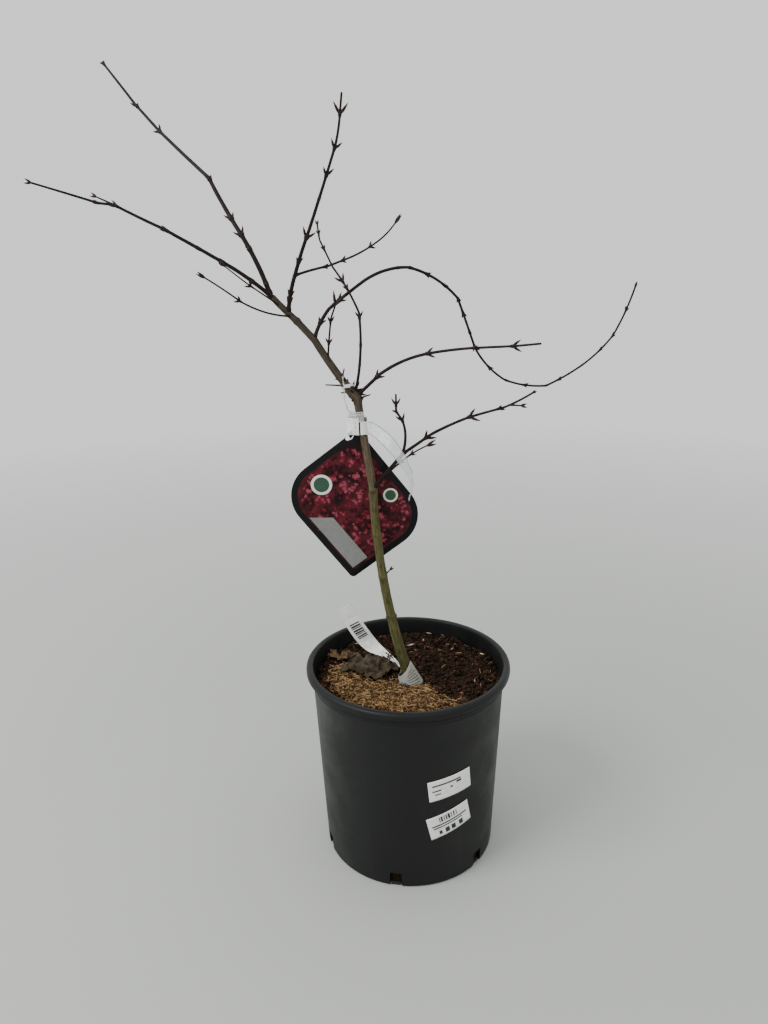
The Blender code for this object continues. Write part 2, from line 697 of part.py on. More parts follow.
def build_leaf():
    """A dead, crumpled leaf lying flat on the bark."""
    bm = bmesh.new()
    bmesh.ops.create_grid(bm, x_segments=9, y_segments=6, size=1.0)
    for vert in bm.verts:
        u, v = vert.co.xy
        x = LEAF_CENTRE[0] + u * math.sqrt(1.0 - 0.5 * v * v) * LEAF_LENGTH / 2.0
        y = LEAF_CENTRE[1] + v * math.sqrt(1.0 - 0.5 * u * u) * LEAF_WIDTH / 2.0
        fold = LEAF_CRUMPLE * max(0.0, 0.5 + 0.5 * noise.noise(Vector((x / 11.0, y / 8.0, SEED + 3))))
        vert.co = Vector((x, y, SOIL_LEVEL + GAP + LEAF_THICKNESS + fold)) * MM
    for vert in made_verts(bmesh.ops.extrude_face_region(bm, geom=bm.faces[:])):
        vert.co.z = (SOIL_LEVEL + GAP) * MM
    leaf = add_object("dead_leaf", mesh_from(bm, "dead_leaf"))
    paint(leaf, "dead_leaf")
    shade(leaf, 40.0)


# ---------------------------------------------------------------- tag, ties and labels
def thicken(sheet, thickness, offset):
    step = sheet.modifiers.new("Thickness", "SOLIDIFY")
    step.thickness = thickness * MM
    step.offset = offset


def smooth_line(points, steps=5):
    """Points along one smooth curve through a few route points."""
    line = []
    ends = [2 * points[0] - points[1]] + points + [2 * points[-1] - points[-2]]
    for before, first, last, after in zip(ends, ends[1:], ends[2:], ends[3:]):
        for step in range(steps):
            t = step / steps
            line.append(0.5 * ((2 * first) + (last - before) * t
                               + (2 * before - 5 * first + 4 * last - after) * t * t
                               + (3 * first - before - 3 * last + after) * t ** 3))
    return line + [points[-1]]


def ribbon(name, route, thickness, finish, parent=None):
    """A flat strip along a smooth route of (point, direction of its width, width)."""
    centres = smooth_line([Vector(point) for point, _, _ in route])
    sides = smooth_line([Vector(side) for _, side, _ in route])
    widths = smooth_line([Vector((width, 0, 0)) for _, _, width in route])
    bm = bmesh.new()
    edge = None
    for centre, side, width in zip(centres, sides, widths):
        half = side.normalized() * width.x / 2.0
        ends = [(centre - half) * MM, (centre + half) * MM]
        if edge is None:
            edge = bm.edges.new([bm.verts.new(end) for end in ends])
            continue
        made = bmesh.ops.extrude_edge_only(bm, edges=[edge])
        edge = next(item for item in made["geom"] if isinstance(item, bmesh.types.BMEdge))
        along = edge.verts[1].co - edge.verts[0].co
        if along.dot(half) < 0.0:
            ends.reverse()
        for vert, end in zip(edge.verts, ends):
            vert.co = end
    strip = add_object(name, mesh_from(bm, name, outward=False), parent)
    thicken(strip, thickness, 0.0)
    paint(strip, finish)
    return strip


def tag_outline():
    """Two round corners, a sharp one, and one cut off flat, which hangs from the tie."""
    half_width, half_height = TAG_WIDTH / 2.0, TAG_HEIGHT / 2.0
    cut = TAG_TIP_CUT * math.sqrt(2.0)
    outline = [(-half_width + cut, half_height), (-half_width, half_height - cut)]
    corners = [(-1, -1, TAG_ROUND_CORNER, 180.0), (1, -1, TAG_SHARP_CORNER, 270.0),
               (1, 1, TAG_ROUND_CORNER, 0.0)]
    steps = 6
    for x, y, radius, start in corners:
        for step in range(steps + 1):
            angle = math.radians(start + 90.0 * step / steps)
            outline.append((x * (half_width - radius) + radius * math.cos(angle),
                            y * (half_height - radius) + radius * math.sin(angle)))
    return outline


def build_tag(hang):
    """The flat plant tag, which hangs by one corner from the tie behind the trunk."""
    bm = bmesh.new()
    bm.faces.new([bm.verts.new((x * MM, y * MM, 0.0)) for x, y in tag_outline()])
    front = made_verts(bmesh.ops.extrude_face_region(bm, geom=bm.faces[:]))
    bmesh.ops.translate(bm, verts=front, vec=(0, 0, TAG_THICKNESS * MM))
    tag = add_object("plant_tag", mesh_from(bm, "plant_tag"), hang)
    tag.location = Vector(TAG_OFFSET) * MM
    tag.rotation_mode = "ZYX"
    tag.rotation_euler = (math.radians(90.0 + TAG_LEAN), 0.0, math.radians(TAG_TURN))
    paint(tag, "tag_card")


def build_tie(hang):
    """The tag's white tie, a flat band looped loosely round the trunk above the tag."""
    bm = bmesh.new()
    ring = []
    for step in range(TIE_SIDES):
        across, deep = math.cos(math.tau * step / TIE_SIDES), math.sin(math.tau * step / TIE_SIDES)
        x = TIE_HALF_WIDTH * math.copysign(abs(across) ** 0.7, across)
        y = TIE_HALF_DEPTH * math.copysign(abs(deep) ** 0.9, deep)
        ring.append(bm.verts.new(Vector((x, y, -TIE_HEIGHT / 2.0)) * MM))
    edges = [bm.edges.new(pair) for pair in zip(ring, ring[1:] + ring[:1])]
    top = made_verts(bmesh.ops.extrude_edge_only(bm, edges=edges))
    bmesh.ops.translate(bm, verts=top, vec=(0, 0, TIE_HEIGHT * MM))
    band = add_object("tag_tie", mesh_from(bm, "tag_tie"), hang)
    thicken(band, FILM, 0.0)
    paint(band, "white_label")


def build_tag_and_tie(trunk):
    """All that hangs at the tie, on an empty at the tie's middle."""
    hang = add_object("tie_middle", None)
    hang.location = (trunk.place(TIE_AT)[0] + Vector(TIE_OFFSET)) * MM
    build_tag(hang)
    build_tie(hang)
    ribbon("tag_tie_tail", TAIL, FILM, "clear_film", hang)
    ribbon("tag_tie_film", FILM_END, FILM, "clear_film", hang)


def build_cuff(trunk):
    """The paper wrapped round the trunk's foot: a cone that is highest on the right."""
    bm = bmesh.new()
    rings = ([], [])
    for step in range(CUFF_SIDES):
        bearing = 360.0 * step / CUFF_SIDES
        side = 0.5 - 0.5 * math.cos(math.radians(bearing - CUFF_HIGH_BEARING))
        height = CUFF_HIGH_SIDE + (CUFF_LOW_SIDE - CUFF_HIGH_SIDE) * side
        share = height / CUFF_HIGH_SIDE
        top_radius = trunk.radius(CUFF_HIGH_SIDE) + CUFF_TOP_CLEARANCE
        radius = CUFF_FOOT_RADIUS + (top_radius - CUFF_FOOT_RADIUS) * share
        for ring, rise, reach in zip(rings, (GAP, height), (CUFF_FOOT_RADIUS, radius)):
            centre, _ = trunk.place(rise)
            point = centre + direction(bearing, 0.0) * reach
            ring.append(bm.verts.new(Vector((point.x, point.y, SOIL_LEVEL + rise)) * MM))
    loops = [[bm.edges.new(pair) for pair in zip(ring, ring[1:] + ring[:1])] for ring in rings]
    bmesh.ops.bridge_loops(bm, edges=loops[0] + loops[1])
    cuff = add_object("foot_label", mesh_from(bm, "foot_label"))
    thicken(cuff, PAPER, 0.0)
    boolean(cuff, [below_ground("cuff_cut")], "DIFFERENCE")
    paint(cuff, "white_label")


def build_stickers():
    """Blank paper labels that follow the pot's conical wall."""
    for name, (bearing, height, width, tall, turn) in STICKERS.items():
        bm = bmesh.new()
        bmesh.ops.create_grid(bm, x_segments=10, y_segments=2, size=0.5)
        for vert in bm.verts:
            flat = Vector((vert.co.x * width, vert.co.y * tall))
            flat.rotate(Matrix.Rotation(math.radians(turn), 2))
            place = direction(bearing, 0.0) * (wall_radius(height + flat.y) + GAP + 0.15)
            place.rotate(Matrix.Rotation(flat.x / place.length, 3, "Z"))
            vert.co = Vector((place.x, place.y, height + flat.y)) * MM
        label = add_object(name, mesh_from(bm, name, outward=False))
        thicken(label, STICKER, 1.0)
        paint(label, "white_label")


def main():
    clear_scene()
    limbs = lay_out_limbs()
    build_pot()
    build_soil()
    build_leaf()
    build_trunk(limbs["trunk"])
    build_shoots(limbs)
    build_cuff(limbs["trunk"])
    ribbon("foot_label_strip", LABEL_STRIP, PAPER, "white_label")
    build_tag_and_tie(limbs["trunk"])
    build_stickers()


main()
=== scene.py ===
import math
import random
from bisect import bisect_left

import bmesh
import bpy
import numpy as np
from mathutils import Matrix, Vector, noise


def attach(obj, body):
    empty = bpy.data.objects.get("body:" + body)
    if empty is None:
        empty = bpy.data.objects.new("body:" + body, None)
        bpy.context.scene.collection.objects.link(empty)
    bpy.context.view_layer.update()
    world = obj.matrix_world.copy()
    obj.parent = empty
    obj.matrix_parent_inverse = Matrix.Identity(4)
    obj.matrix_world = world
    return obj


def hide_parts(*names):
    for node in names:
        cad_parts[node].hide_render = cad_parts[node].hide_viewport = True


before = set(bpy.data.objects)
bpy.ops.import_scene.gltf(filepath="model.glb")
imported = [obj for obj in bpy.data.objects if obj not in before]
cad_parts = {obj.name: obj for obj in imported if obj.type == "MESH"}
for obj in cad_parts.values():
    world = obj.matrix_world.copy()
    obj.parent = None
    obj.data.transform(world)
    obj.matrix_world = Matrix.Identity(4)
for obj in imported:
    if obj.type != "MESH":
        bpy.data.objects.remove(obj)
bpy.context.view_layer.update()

bl_info = {
    "name": "Potted Japanese Maple",
    "version": (1, 0, 0),
    "blender": (4, 5, 0),
    "location": "View3D > Sidebar > Maple",
    "description": "Builds a bare young japanese maple in its nursery pot round a packed model",
    "category": "Object",
}

# Lengths are millimetres and angles degrees unless a comment says otherwise, and MM turns them
# into metres. A bearing is a compass angle seen from above, 0 along +X and 90 along +Y. A rise
# is the angle above the level.
MM = 0.001
SEED = 7

# ---- camera: where it stands in metres, its tilt below the level, its roll, its focal length ----
IMAGE_WIDTH, IMAGE_HEIGHT = 768, 1024
CAMERA_PLACE = (-0.0249, -0.8028, 0.6504)
CAMERA_TILT = 14.57
CAMERA_ROLL = 1.07
FOCAL_PIXELS = 775.0
IMAGE_CENTRE = (382.5, 473.5)
SENSOR = 36.0

# ---- light and floor: metres, apart from DULL, the plain shine of most surfaces here ----
DULL = 0.12
FLOOR_RADIUS = 2.6
FLOOR_DROP = 0.0005
FLOOR_FADE_FROM = 0.5
LAMP_SIZE = (1.1, 0.9)
LAMP_PLACE = (-1.5, -0.9, 1.9)
LAMP_TARGET = (0.0, 0.0, 0.3)

# ---- pot and soil, as in the model ----
POT_HEIGHT = 222.0
RIM_RADIUS = 115.5
RIM_INNER_RADIUS = 108.0
LIP_HEIGHT = 8.0
WALL_TOP_RADIUS = 108.6
FOOT_RADIUS = 97.2
WALL = 1.8
FLOOR = 2.6
FOOT_ROUND = 2.0
RIDGE = 1.2
RIDGE_HEIGHT = 3.6
RIDGE_FOOT_SINK = 0.1
LIP_UNDER_ROUND = 1.8
LIP_TOP_ROUND = 3.6
LIP_INNER_ROUND = 2.4
NOTCHES = 6
FIRST_NOTCH_BEARING = -101.0
NOTCH_WIDTH = 13.0
NOTCH_HEIGHT = 17.0
NOTCH_DEPTH = 9.0
SOIL_LEVEL = 203.0
SOIL_BUMP = 3.5
SOIL_BUMP_WIDTH = 17.0
SOIL_GAP = 0.3
LEVEL_EDGE = 12.0
LEVEL_ROUND_TRUNK = 18.0
LEVEL_ROUND_LEAF = 38.0
LEAF_CENTRE = (-42.0, 12.0)
LEAF_LENGTH = 62.0
LEAF_WIDTH = 48.0

# ---- only in the finished pot: its sides, how far out the search for a notch's faces starts,
# the ridge's rounding, how far each mould line lies under the ridge and how far it stands out,
# and the colour of the specks of dirt ----
POT_STEPS = 180
WALL_SEARCH_FROM = 70.0
RIDGE_ROUND = 0.5
MOULD_LINES = (6.5, 3.2)
MOULD_LINE = 0.4
POT_DIRT = "#4A3F33"

# ---- trunk and shoots, as in the model, but for six turned or resized pairs of buds, one more
# at a tip, and up to half a millimetre more across the thin shoots ----
TRUNK_FOOT = (3.0, -15.0)
TRUNK_FOOT_DIAMETER = 13.2
TRUNK_WAIST_DIAMETER = 8.2
TRUNK_FORK_DIAMETER = 6.4
TRUNK_TAPER_LENGTH = 100.0
ROOT_FLARE = 4.4
ROOT_FLARE_HEIGHT = 8.0
GRAFT_UNION_AT = 333.0
GRAFT_UNION_SWELL = 3.2
GRAFT_UNION_REACH = 9.0
TRUNK_KNOT_SWELL = 0.12
TRUNK_KNOTS = (82, 129, 177, 229, 427)
KNOT_SWELL = 0.24
KNOT_SWELL_REACH = 2.2
BUD_SPREAD = 38.0
BUD_LUCK = (0.92, 1.08)
END_BUDS_INSIDE = 1.2
SIDE_TWIG_RADIUS = 1.0
SIDE_TWIG_BUDS = (0.8, 0, 22)
TWIG_START_INSIDE_BOUGH = 1.5

# A stretch is (length mm, rise at its start, rise at its end, bearing), and a limb kinks a
# little where one ends and the next begins.
TRUNK_STRETCHES = [
    (82, 71, 79, 175), (95, 78, 85, 171), (52, 83, 90, 170), (98, 81, 82, 173),
    (13, 47, 47, 160), (60, 52, 60, 176), (27, 47, 47, 170), (36, 43, 47, 174),
]

# shoot: parent, distance along the parent, diameter at its base and tip, how many stretches
# are its plain bough (the rest are its twigs), then the stretches.
SHOOTS = {
    "upper_left": ("trunk", 463, 5.2, 2.5, 2, [
        (71, 70, 56, 158), (65, 52, 59, 147), (91, 35, 37, 143), (41, 43, 43, 150), (60, 50, 49, 157)]),
    "left": ("trunk", 459, 4.4, 1.9, 3, [
        (62, 43, 30, 200), (25, 31, 31, 192), (37, 30, 30, 197), (47, 25, 29, 190), (14, 6, 6, 196),
        (59, 17, 16, 203)]),
    "left_thin": ("trunk", 447, 1.9, 1.3, 0, [(43, 33, 33, 214), (30, 38, 38, 206)]),
    "low_left": ("trunk", 434, 2.2, 1.5, 0, [(71, 3, 26, 232), (42, 35, 30, 219)]),
    "upright": ("trunk", 438, 4.4, 1.9, 2, [
        (43, 77, 46, -60), (42, 64, 55, -46), (90, 53, 56, -53), (27, 66, 82, -45), (16, 75, 75, -60)]),
    "inner_right": ("upright", 43, 2.7, 1.8, 1, [
        (40, 16, 8, 38), (27, 15, 15, 46), (54, 13, 23, 54), (38, 26, 46, 42)]),
    "arching_rise": ("trunk", 401, 3.9, 3.1, 3, [(35, 74, 50, 8), (42, 38, 34, 14), (55, 34, -3, 20)]),
    "arching_fall": ("arching_rise", 132, 3.1, 2.4, 3, [
        (68, -13, -46, 24), (57, -68, -69, 20), (53, -61, -31, 14)]),
    "arching_tip": ("arching_fall", 178, 2.4, 2.2, 0, [
        (50, -22, 2, 10), (52, 19, 31, 17), (52, 28, 44, 26), (61, 56, 70, 22)]),
    "centre": ("trunk", 331, 3.1, 1.7, 1, [
        (86, 115, 81, 125), (52, 66, 50, 156), (30, 64, 63, 160), (16, 79, 79, 130)]),
    "short_centre": ("trunk", 376, 2.2, 1.8, 0, [(21, 73, 73, -70), (23, 77, 77, -55), (16, 68, 68, -20)]),
    "right": ("trunk", 329, 3.8, 2.1, 2, [
        (35, 42, 42, -18), (61, 35, 10, -25), (47, 11, 5, -32), (40, 4, 4, -27), (26, 7, 7, -35)]),
    "low": ("trunk", 229, 4.4, 3.8, 1, [(58, 48, 48, -35)]),
    "low_up": ("low", 56, 3.3, 1.9, 0, [(38, 116, 64, 212), (10, 55, 55, 190), (18, 90, 90, 215)]),
    "low_right": ("low", 58, 3.5, 1.9, 0, [
        (44, 34, 34, -41), (45, 30, 23, -32), (40, 19, 19, -38), (31, 25, 34, -28)]),
    "low_thin": ("low", 20, 2.1, 1.5, 0, [(23, 36, 36, 18), (39, 30, 12, 32)]),
    "union_left": ("trunk", 344, 2.0, 1.3, 0, [(22, 4, 4, 185)]),
    "union_up": ("trunk", 352, 2.0, 1.4, 0, [(14, 47, 47, 75)]),
    "union_right": ("trunk", 326, 2.2, 1.3, 0, [(17, 20, 20, -30)]),
    "trunk_sprig": ("trunk", 129, 1.7, 1.2, 0, [(12, 39, 39, 20)]),
}

# A knot is (distance along the shoot, size of its buds, turn of the pair). Turn 0 spreads the
# two buds to the left and the right in the front view, and 90 to the front and the back.
KNOTS = {
    "upper_left": [(12, 0.5, 90), (51, 0.55, 60), (68, 1.0, 0), (88, 0.9, 30), (135, 0.85, 55),
                   (225, 1.05, 0), (265, 0.9, 55), (325, 0.5, 20)],
    "left": [(27, 0.5, 60), (61, 0.6, 60), (87, 0.6, 70), (120, 0.8, 65), (169, 0.9, 55),
             (186, 0.55, 60)],
    "left_thin": [(39, 0.95, 0)],
    "low_left": [(71, 0.85, 0)],
    "upright": [(15, 0.45, 0), (22, 0.5, 0), (41, 0.6, 90), (58, 0.6, 40), (84, 1.2, 0),
                (124, 0.85, 90), (148, 1.1, 30), (173, 1.15, 0), (201, 1.4, 10)],
    "inner_right": [(37, 0.6, 30), (62, 0.85, 20), (111, 1.1, 0)],
    "arching_rise": [(19, 0.75, 0), (41, 0.4, 90), (49, 0.9, 20), (119, 0.35, 90)],
    "arching_fall": [(23, 0.55, 0), (46, 0.6, 60), (69, 0.5, 0), (86, 0.55, 0), (106, 0.5, 60),
                     (125, 0.6, 0), (154, 0.6, 30)],
    "arching_tip": [(24, 0.6, 30), (50, 0.4, 60), (67, 0.6, 30), (100, 0.5, 60), (130, 0.5, 30),
                    (153, 0.6, 30), (186, 0.7, 30)],
    "centre": [(33, 0.35, 90), (54, 0.4, 60), (82, 0.85, 0), (113, 0.6, 0), (121, 1.2, 20),
               (158, 0.6, 0), (174, 0.5, 0)],
    "short_centre": [(19, 0.85, 0), (41, 0.9, 30)],
    "right": [(32, 1.0, 0), (93, 0.95, 0), (143, 0.7, 45), (181, 1.2, 0)],
    "low_up": [(37, 0.95, 0), (48, 0.6, 30), (55, 1.0, 0)],
    "low_right": [(36, 1.3, 15), (90, 1.5, 0), (123, 0.7, 30)],
    "low_thin": [(23, 0.7, 0), (39, 0.8, 0)],
}

# The pair at a shoot's end: size, turn and spread. A shoot that isn't listed ends blunt.
END_BUDS = {
    "left": (0.8, 0, 26),
    "left_thin": (0.8, 60, 26),
    "low_left": (1.15, 20, 12),
    "inner_right": (1.7, 20, 8),
    "centre": (0.6, 0, 26),
    "short_centre": (1.8, 0, 30),
    "arching_tip": (0.9, 20, 10),
    "low_right": (0.5, 30, 26),
    "low_thin": (1.6, 10, 16),
    "trunk_sprig": (0.6, 0, 26),
}

# Twigs that fork off a shoot's own stem: (shoot, distance along it, bearing, length, rise).
SIDE_TWIGS = [
    ("left", 171, 171, 20, 24),
    ("low_right", 134, -39, 13, 3),
]

# ---- finer growth, which only the finished mesh has ----
CURVE_STEP = 2.5
RING_STEP = 2.2
TRUNK_RING_STEP = 1.1
KNOT_RING_STEP = 0.7
KNOT_REACH = 4.0
TRUNK_SIDES = 40
TRUNK_SHOULDERS = (0.3, 0.2, 0.3, 1.5, 0.3)
KNOT_HOLLOW = 0.6
TIP_ROUND = 0.8
TIP_GAP = 0.3
TIP_RINGS = (0.0, 0.5, 0.8, 0.95, 1.0)
BOUGH_SIDES = 20
TWIG_SIDES = 12
BUD_SIDES = 10
STREAK_DEPTH = 0.05
STREAK_WIDE, STREAK_LONG = 1.6, 22.0
LUMP_WIDE, LUMP_LONG = 5.0, 9.0
SHOULDER = 0.30
SHOULDER_REACH = 1.7
SHOULDER_BELOW = 0.8
UNION_WRINKLE = 0.9
UNION_WRINKLE_REACH = 13.0
FOLD_WIDE, FOLD_LONG = 3.2, 2.6
RIB_HEIGHT = 2.0
RIB_WIDE, RIB_LONG = 1.7, 12.0
RIBS_BELOW_KNOT, RIBS_REACH = 4.0, 9.0
SCAR_REACH = 0.9
COLLAR = 0.35
COLLAR_REACH = 2.4
BUD_INSIDE = 1.0
BUD_HOOK = 0.10
BUD_DEPTH = 1.08
BUD_EDGE = "#47352D"
BUD_RINGS = [(0.0, 0.75), (0.18, 0.92), (0.36, 1.06), (0.40, 0.96), (0.62, 0.86), (0.66, 0.70),
             (0.85, 0.42), (1.0, 0.10)]
DORMANT_SPREAD = 62.0
DORMANT_BUDS = [
    ("trunk", 83, 0.28, 60), ("trunk", 178, 0.3, 0), ("trunk", 324, 0.5, 20), ("trunk", 334, 0.8, 100),
    ("trunk", 339, 0.85, 10), ("trunk", 345, 0.9, 60), ("trunk", 349, 0.8, 120), ("trunk", 354, 0.6, 150),
    ("centre", 6, 0.9, 0), ("centre", 10, 0.8, 70), ("right", 5, 0.9, 20), ("right", 9, 0.7, 90),
]

# ---- bark chips and coir on the soil. A chip's widths, heights and dents, and a fibre's
# thickness, bend, lift and sway, are shares of its length. Sizes are shares of the set size.
# Margins are kept from the pot's wall. ----
SOIL_RINGS = 70
SOIL_SIDES = 240
SOIL_SINK = 1.2
CRUMB_HEIGHT = 1.1
CRUMB_FINE, CRUMB_COARSE = 2.6, 6.0
CHIP_SHAPES = 6
CHIP_WIDTHS, CHIP_HEIGHTS = (0.35, 0.8), (0.25, 0.55)
CHIP_DENT, CHIP_DENTS = 0.75, 2.6
CHIP_SIZES = (0.45, 0.6, 0.8, 1.0, 1.3, 1.8)
CHIP_MARGIN = 3.0
CHIP_TILT = 38
CHIP_LIFT = (-0.8, 1.5)
CHIP_BLUR = 7
CHIP_FROM_STEM = 0.4
RED_SHARE = 0.25
BURIED_SINK = 1.4
BURIED_SHARE = 0.6
FIBRE_SIDES = 3
FIBRE_STEPS = 5
FIBRE_THICKNESS = 0.045
FIBRE_BEND, FIBRE_LIFT, FIBRE_SWAY = 0.6, 0.25, 0.4
FIBRE_SIZES = (0.5, 1.7)
FIBRE_MARGIN = 6.0
FIBRE_TILT = 30
FIBRE_RISE = (0.0, 2.6)
FIBRE_BLUR = 5
FIBRE_FROM_STEM = 2
FIBRE_TRIES = 4
LIGHT_SHARE = 0.55
COIR_EDGE_CELL, COIR_EDGE_RAGGED = 9, 14
COIR_PATCH = [(-92, -3), (-77, 23), (-47, -19), (-5, -21), (19, -28), (28, -50), (16, -85), (-65, -66)]
COIR_THIN = [(28, -50), (50, -60), (66, -76), (40, -98), (16, -85)]
COIR_THIN_SHARE = 0.4
COIR_ELSEWHERE = 0.008
SLIVERS = [(6, 67, 9), (14, 54, 7), (30, 99, 7), (22, 80, 6), (56, 58, 9), (74, 66, 6), (90, 41, 8),
           (-60, 72, 6), (74, -22, 6), (48, 92, 6)]
SLIVER_WIDTHS, SLIVER_THICKNESS = (0.12, 0.2), 0.05
LEAF_CELLS = 64
LEAF_RAGGED, LEAF_TEETH = 0.06, 9.0
LEAF_FOLDS = (1.9, 4.5, 9.0)
LEAF_FOLD_WIDTH = 3.0
LEAF_LEAST_LIFT = 0.6
LEAF_SKIN, SMALL_LEAF_SKIN = 0.35, 0.3
SMALL_LEAF_CENTRE, SMALL_LEAF_SIZE = (-78.0, 37.0), (36, 22)
BIG_LEAF_EDGE = (16, 12)

# ---- tag, its tie, and the labels: their outlines are the model's, and the print, the tie's
# loop and wrap, the folds, and the grey lines of painted shade along the film's folds and edges,
# are only here. CREASES, PLEAT_CREASES and CUFF_CREASES count a pattern's cells along and across a sheet.
# ----
TAG_OFFSET = (-5.3, 10.6, -92.8)
TAG_WIDTH = 132.0
TAG_HEIGHT = 112.0
TAG_TURN = -53.0
TAG_LEAN = 4.0
TAG_THICKNESS = 0.8
TAG_ROUND_CORNER = 40.0
TAG_SHARP_CORNER = 5.0
TAG_TIP_CUT = 6.5
TAG_BORDER = 7.0
PRINT_LIFT = 0.03
PRINT_STEP = 0.001
PRINT_CELLS = 16
CARD_EDGE = 0.2
CORNER_STEPS = 18
TAG_LEAVES = 680
TAG_LEAF_SIZES = (1.8, 4.4)
TAG_LEAF_MARGIN = 3.0
TAG_LOBES = 7
TAG_LOBE = ((-0.5, 0.18), (-0.2, 0.55), (0.0, 1.0), (0.2, 0.55))
TAG_DRIFT, TAG_DRIFT_BLUR = 17.0, 0.16
BRIGHT_ABOVE, DARK_BELOW = 0.16, -0.12
TAG_DISCS = [(-41, -13, 11.5), (14, 38, 8.0)]
TAG_DISC_MIDDLE = 0.74
TAG_BAND = [(-20, -47.5), (56, -47.5), (56, -27), (-4, -27)]
TAG_BACK_RULES = [(-6, 30, 70), (-2, 20, 84), (4, 10, 60), (0, 0, 90), (-8, -10, 66), (6, -20, 78),
                  (12, -30, 50)]
TAG_RULE_HALF = 1.2
TIE_AT = 300.0
TIE_OFFSET = (-4.5, 0.3, 0.8)
TIE_HEIGHT = 23.6
TIE_HALF_WIDTH = 11.1
TIE_HALF_DEPTH = 5.8
TIE_WAIST, TIE_CREASE, TIE_RIDGE = 0.10, 0.05, 0.03
TIE_SQUARE_X, TIE_SQUARE_Y = 0.7, 0.9
TIE_EDGE_WAVE = 1.6
FILM = 0.25
PAPER = 0.3
CUFF_FOOT_RADIUS = 13.8
CUFF_TOP_CLEARANCE = 0.8
CUFF_LOW_SIDE = 7.0
CUFF_HIGH_SIDE = 25.0
CUFF_HIGH_BEARING = -12.0
CUFF_LIFT = 0.3
CUFF_CREASE = 0.45
CUFF_CREASES = (9.0, 1.5)
TAIL = [
    ((12.1, -1.6, -5), (0, 0, 1), 13), ((18.5, -16, -5), (0.2, 0.2, 1), 13),
    ((34, -30, -17), (0.5, 0.3, 0.7), 13), ((50, -35, -41), (0.4, 0.8, 0.3), 12),
    ((55, -28, -63), (0.2, 1, 0.1), 11), ((52, -16, -79), (0.1, 1, 0.1), 11),
]
FILM_END = [
    ((-8, -3.6, 12.4), (0, 1, 0), 6), ((-11, -5.6, 23), (0, 1, 0), 6),
    ((-12.4, -6.4, 37), (0, 1, 0), 6), ((-13, -5.7, 50), (0, 1, 0), 5.5),
]
LABEL_STRIP = [
    ((-4.4, -3.3, 209.5), (0.06, -0.12, 1), 7), ((-14, 14, 212), (0.8, 0.4, 0.5), 7),
    ((-26, 34, 211.5), (0.5, 0.6, 0.5), 12), ((-42, 42, 219), (0.9, 0.4, 0.5), 19),
    ((-57, 41, 240), (1, 0.1, 0.5), 20), ((-73, 40, 270), (1, 0, 0.5), 18),
]
TIE_LOOP = [
    ((-6.5, -6.2, -8), (0, 0, 1), 5), ((-11, -8.2, -12), (0.4, 0, 1), 5),
    ((-8.5, -9.5, -15.5), (1, 0, 0.3), 4.5), ((-4.5, -8, -12.5), (0.4, 0, 1), 4),
]
TIE_GAP_AT = -82.0
TIE_GAP = 7.0
TIE_WHITE_SHARE = 0.74
TIE_LOW_SHARE = 0.57
TIE_STEP_FROM, TIE_STEP_OVER = 0.70, 0.12
FILM_FOLDS = (-50.0, -290.0)
FOLDS_NEAR, FOLDS_DRAWN_IN = 0.96, 0.16
RIPPLE, RIPPLES, RIPPLE_SLANT = 0.05, 7.0, 4.0
# Grey strips of painted shade over the film's folds, for the darker look that light bent in the clear film
# gives them.
FOLD_LINES = [(0.22, 0.40, 0.32, 0.03), (0.25, 0.62, 0.38, 0.025), (0.22, 0.86, 0.34, 0.03)]
FILM_WRAP = (342.0, 346.0)
FILM_WRAP_SLANT, FILM_WRAP_GAP, FILM_WRAP_CREASE = 3.0, 0.9, 0.5
# Width, as a share of the strip's width, of the grey strips of painted shade along the edges of the tie's
# tail and the graft film.
EDGE_SHADE_WIDTH = 0.05
CREASES = (14.0, 2.2)
PLEATS = 5.0
PLEAT_SLANT = 9.0
PLEAT_CREASES = (30.0, 3.0)
PLEAT_REACH = 0.42
PLEAT_DEPTH = 2.0
PLEAT_NARROWING = 0.6
ROUTE_AHEAD = 0.02
STRIP_PAPER_END = 0.90
STRIP_MARKS = [
    (0.16, 0.6, 0.04, 0.6), (0.22, 0.3, 0.02, 0.4), (0.27, 0.7, 0.04, 0.35), (0.32, 0.3, 0.03, 0.5),
    (0.38, 0.6, 0.02, 0.5), (0.44, 0.5, 0.03, 0.3), (0.725, 0.5, 0.010, 0.62), (0.743, 0.5, 0.014, 0.62),
    (0.764, 0.5, 0.008, 0.62), (0.780, 0.5, 0.014, 0.62), (0.801, 0.5, 0.016, 0.62),
    (0.822, 0.5, 0.008, 0.62), (0.838, 0.5, 0.014, 0.62), (0.858, 0.5, 0.010, 0.62),
]
TIE_MARKS = [(0.028, 0.20, 0.006, 0.10), (0.028, 0.45, 0.006, 0.12), (0.028, 0.72, 0.006, 0.10),
             (0.10, 0.10, 0.020, 0.05), (0.14, 0.10, 0.012, 0.05), (0.17, 0.86, 0.03, 0.03)]
CUFF_RULES = [(0.16, 0.60), (0.28, 0.80), (0.40, 0.95), (0.52, 0.70), (0.64, 0.88), (0.76, 0.50)]
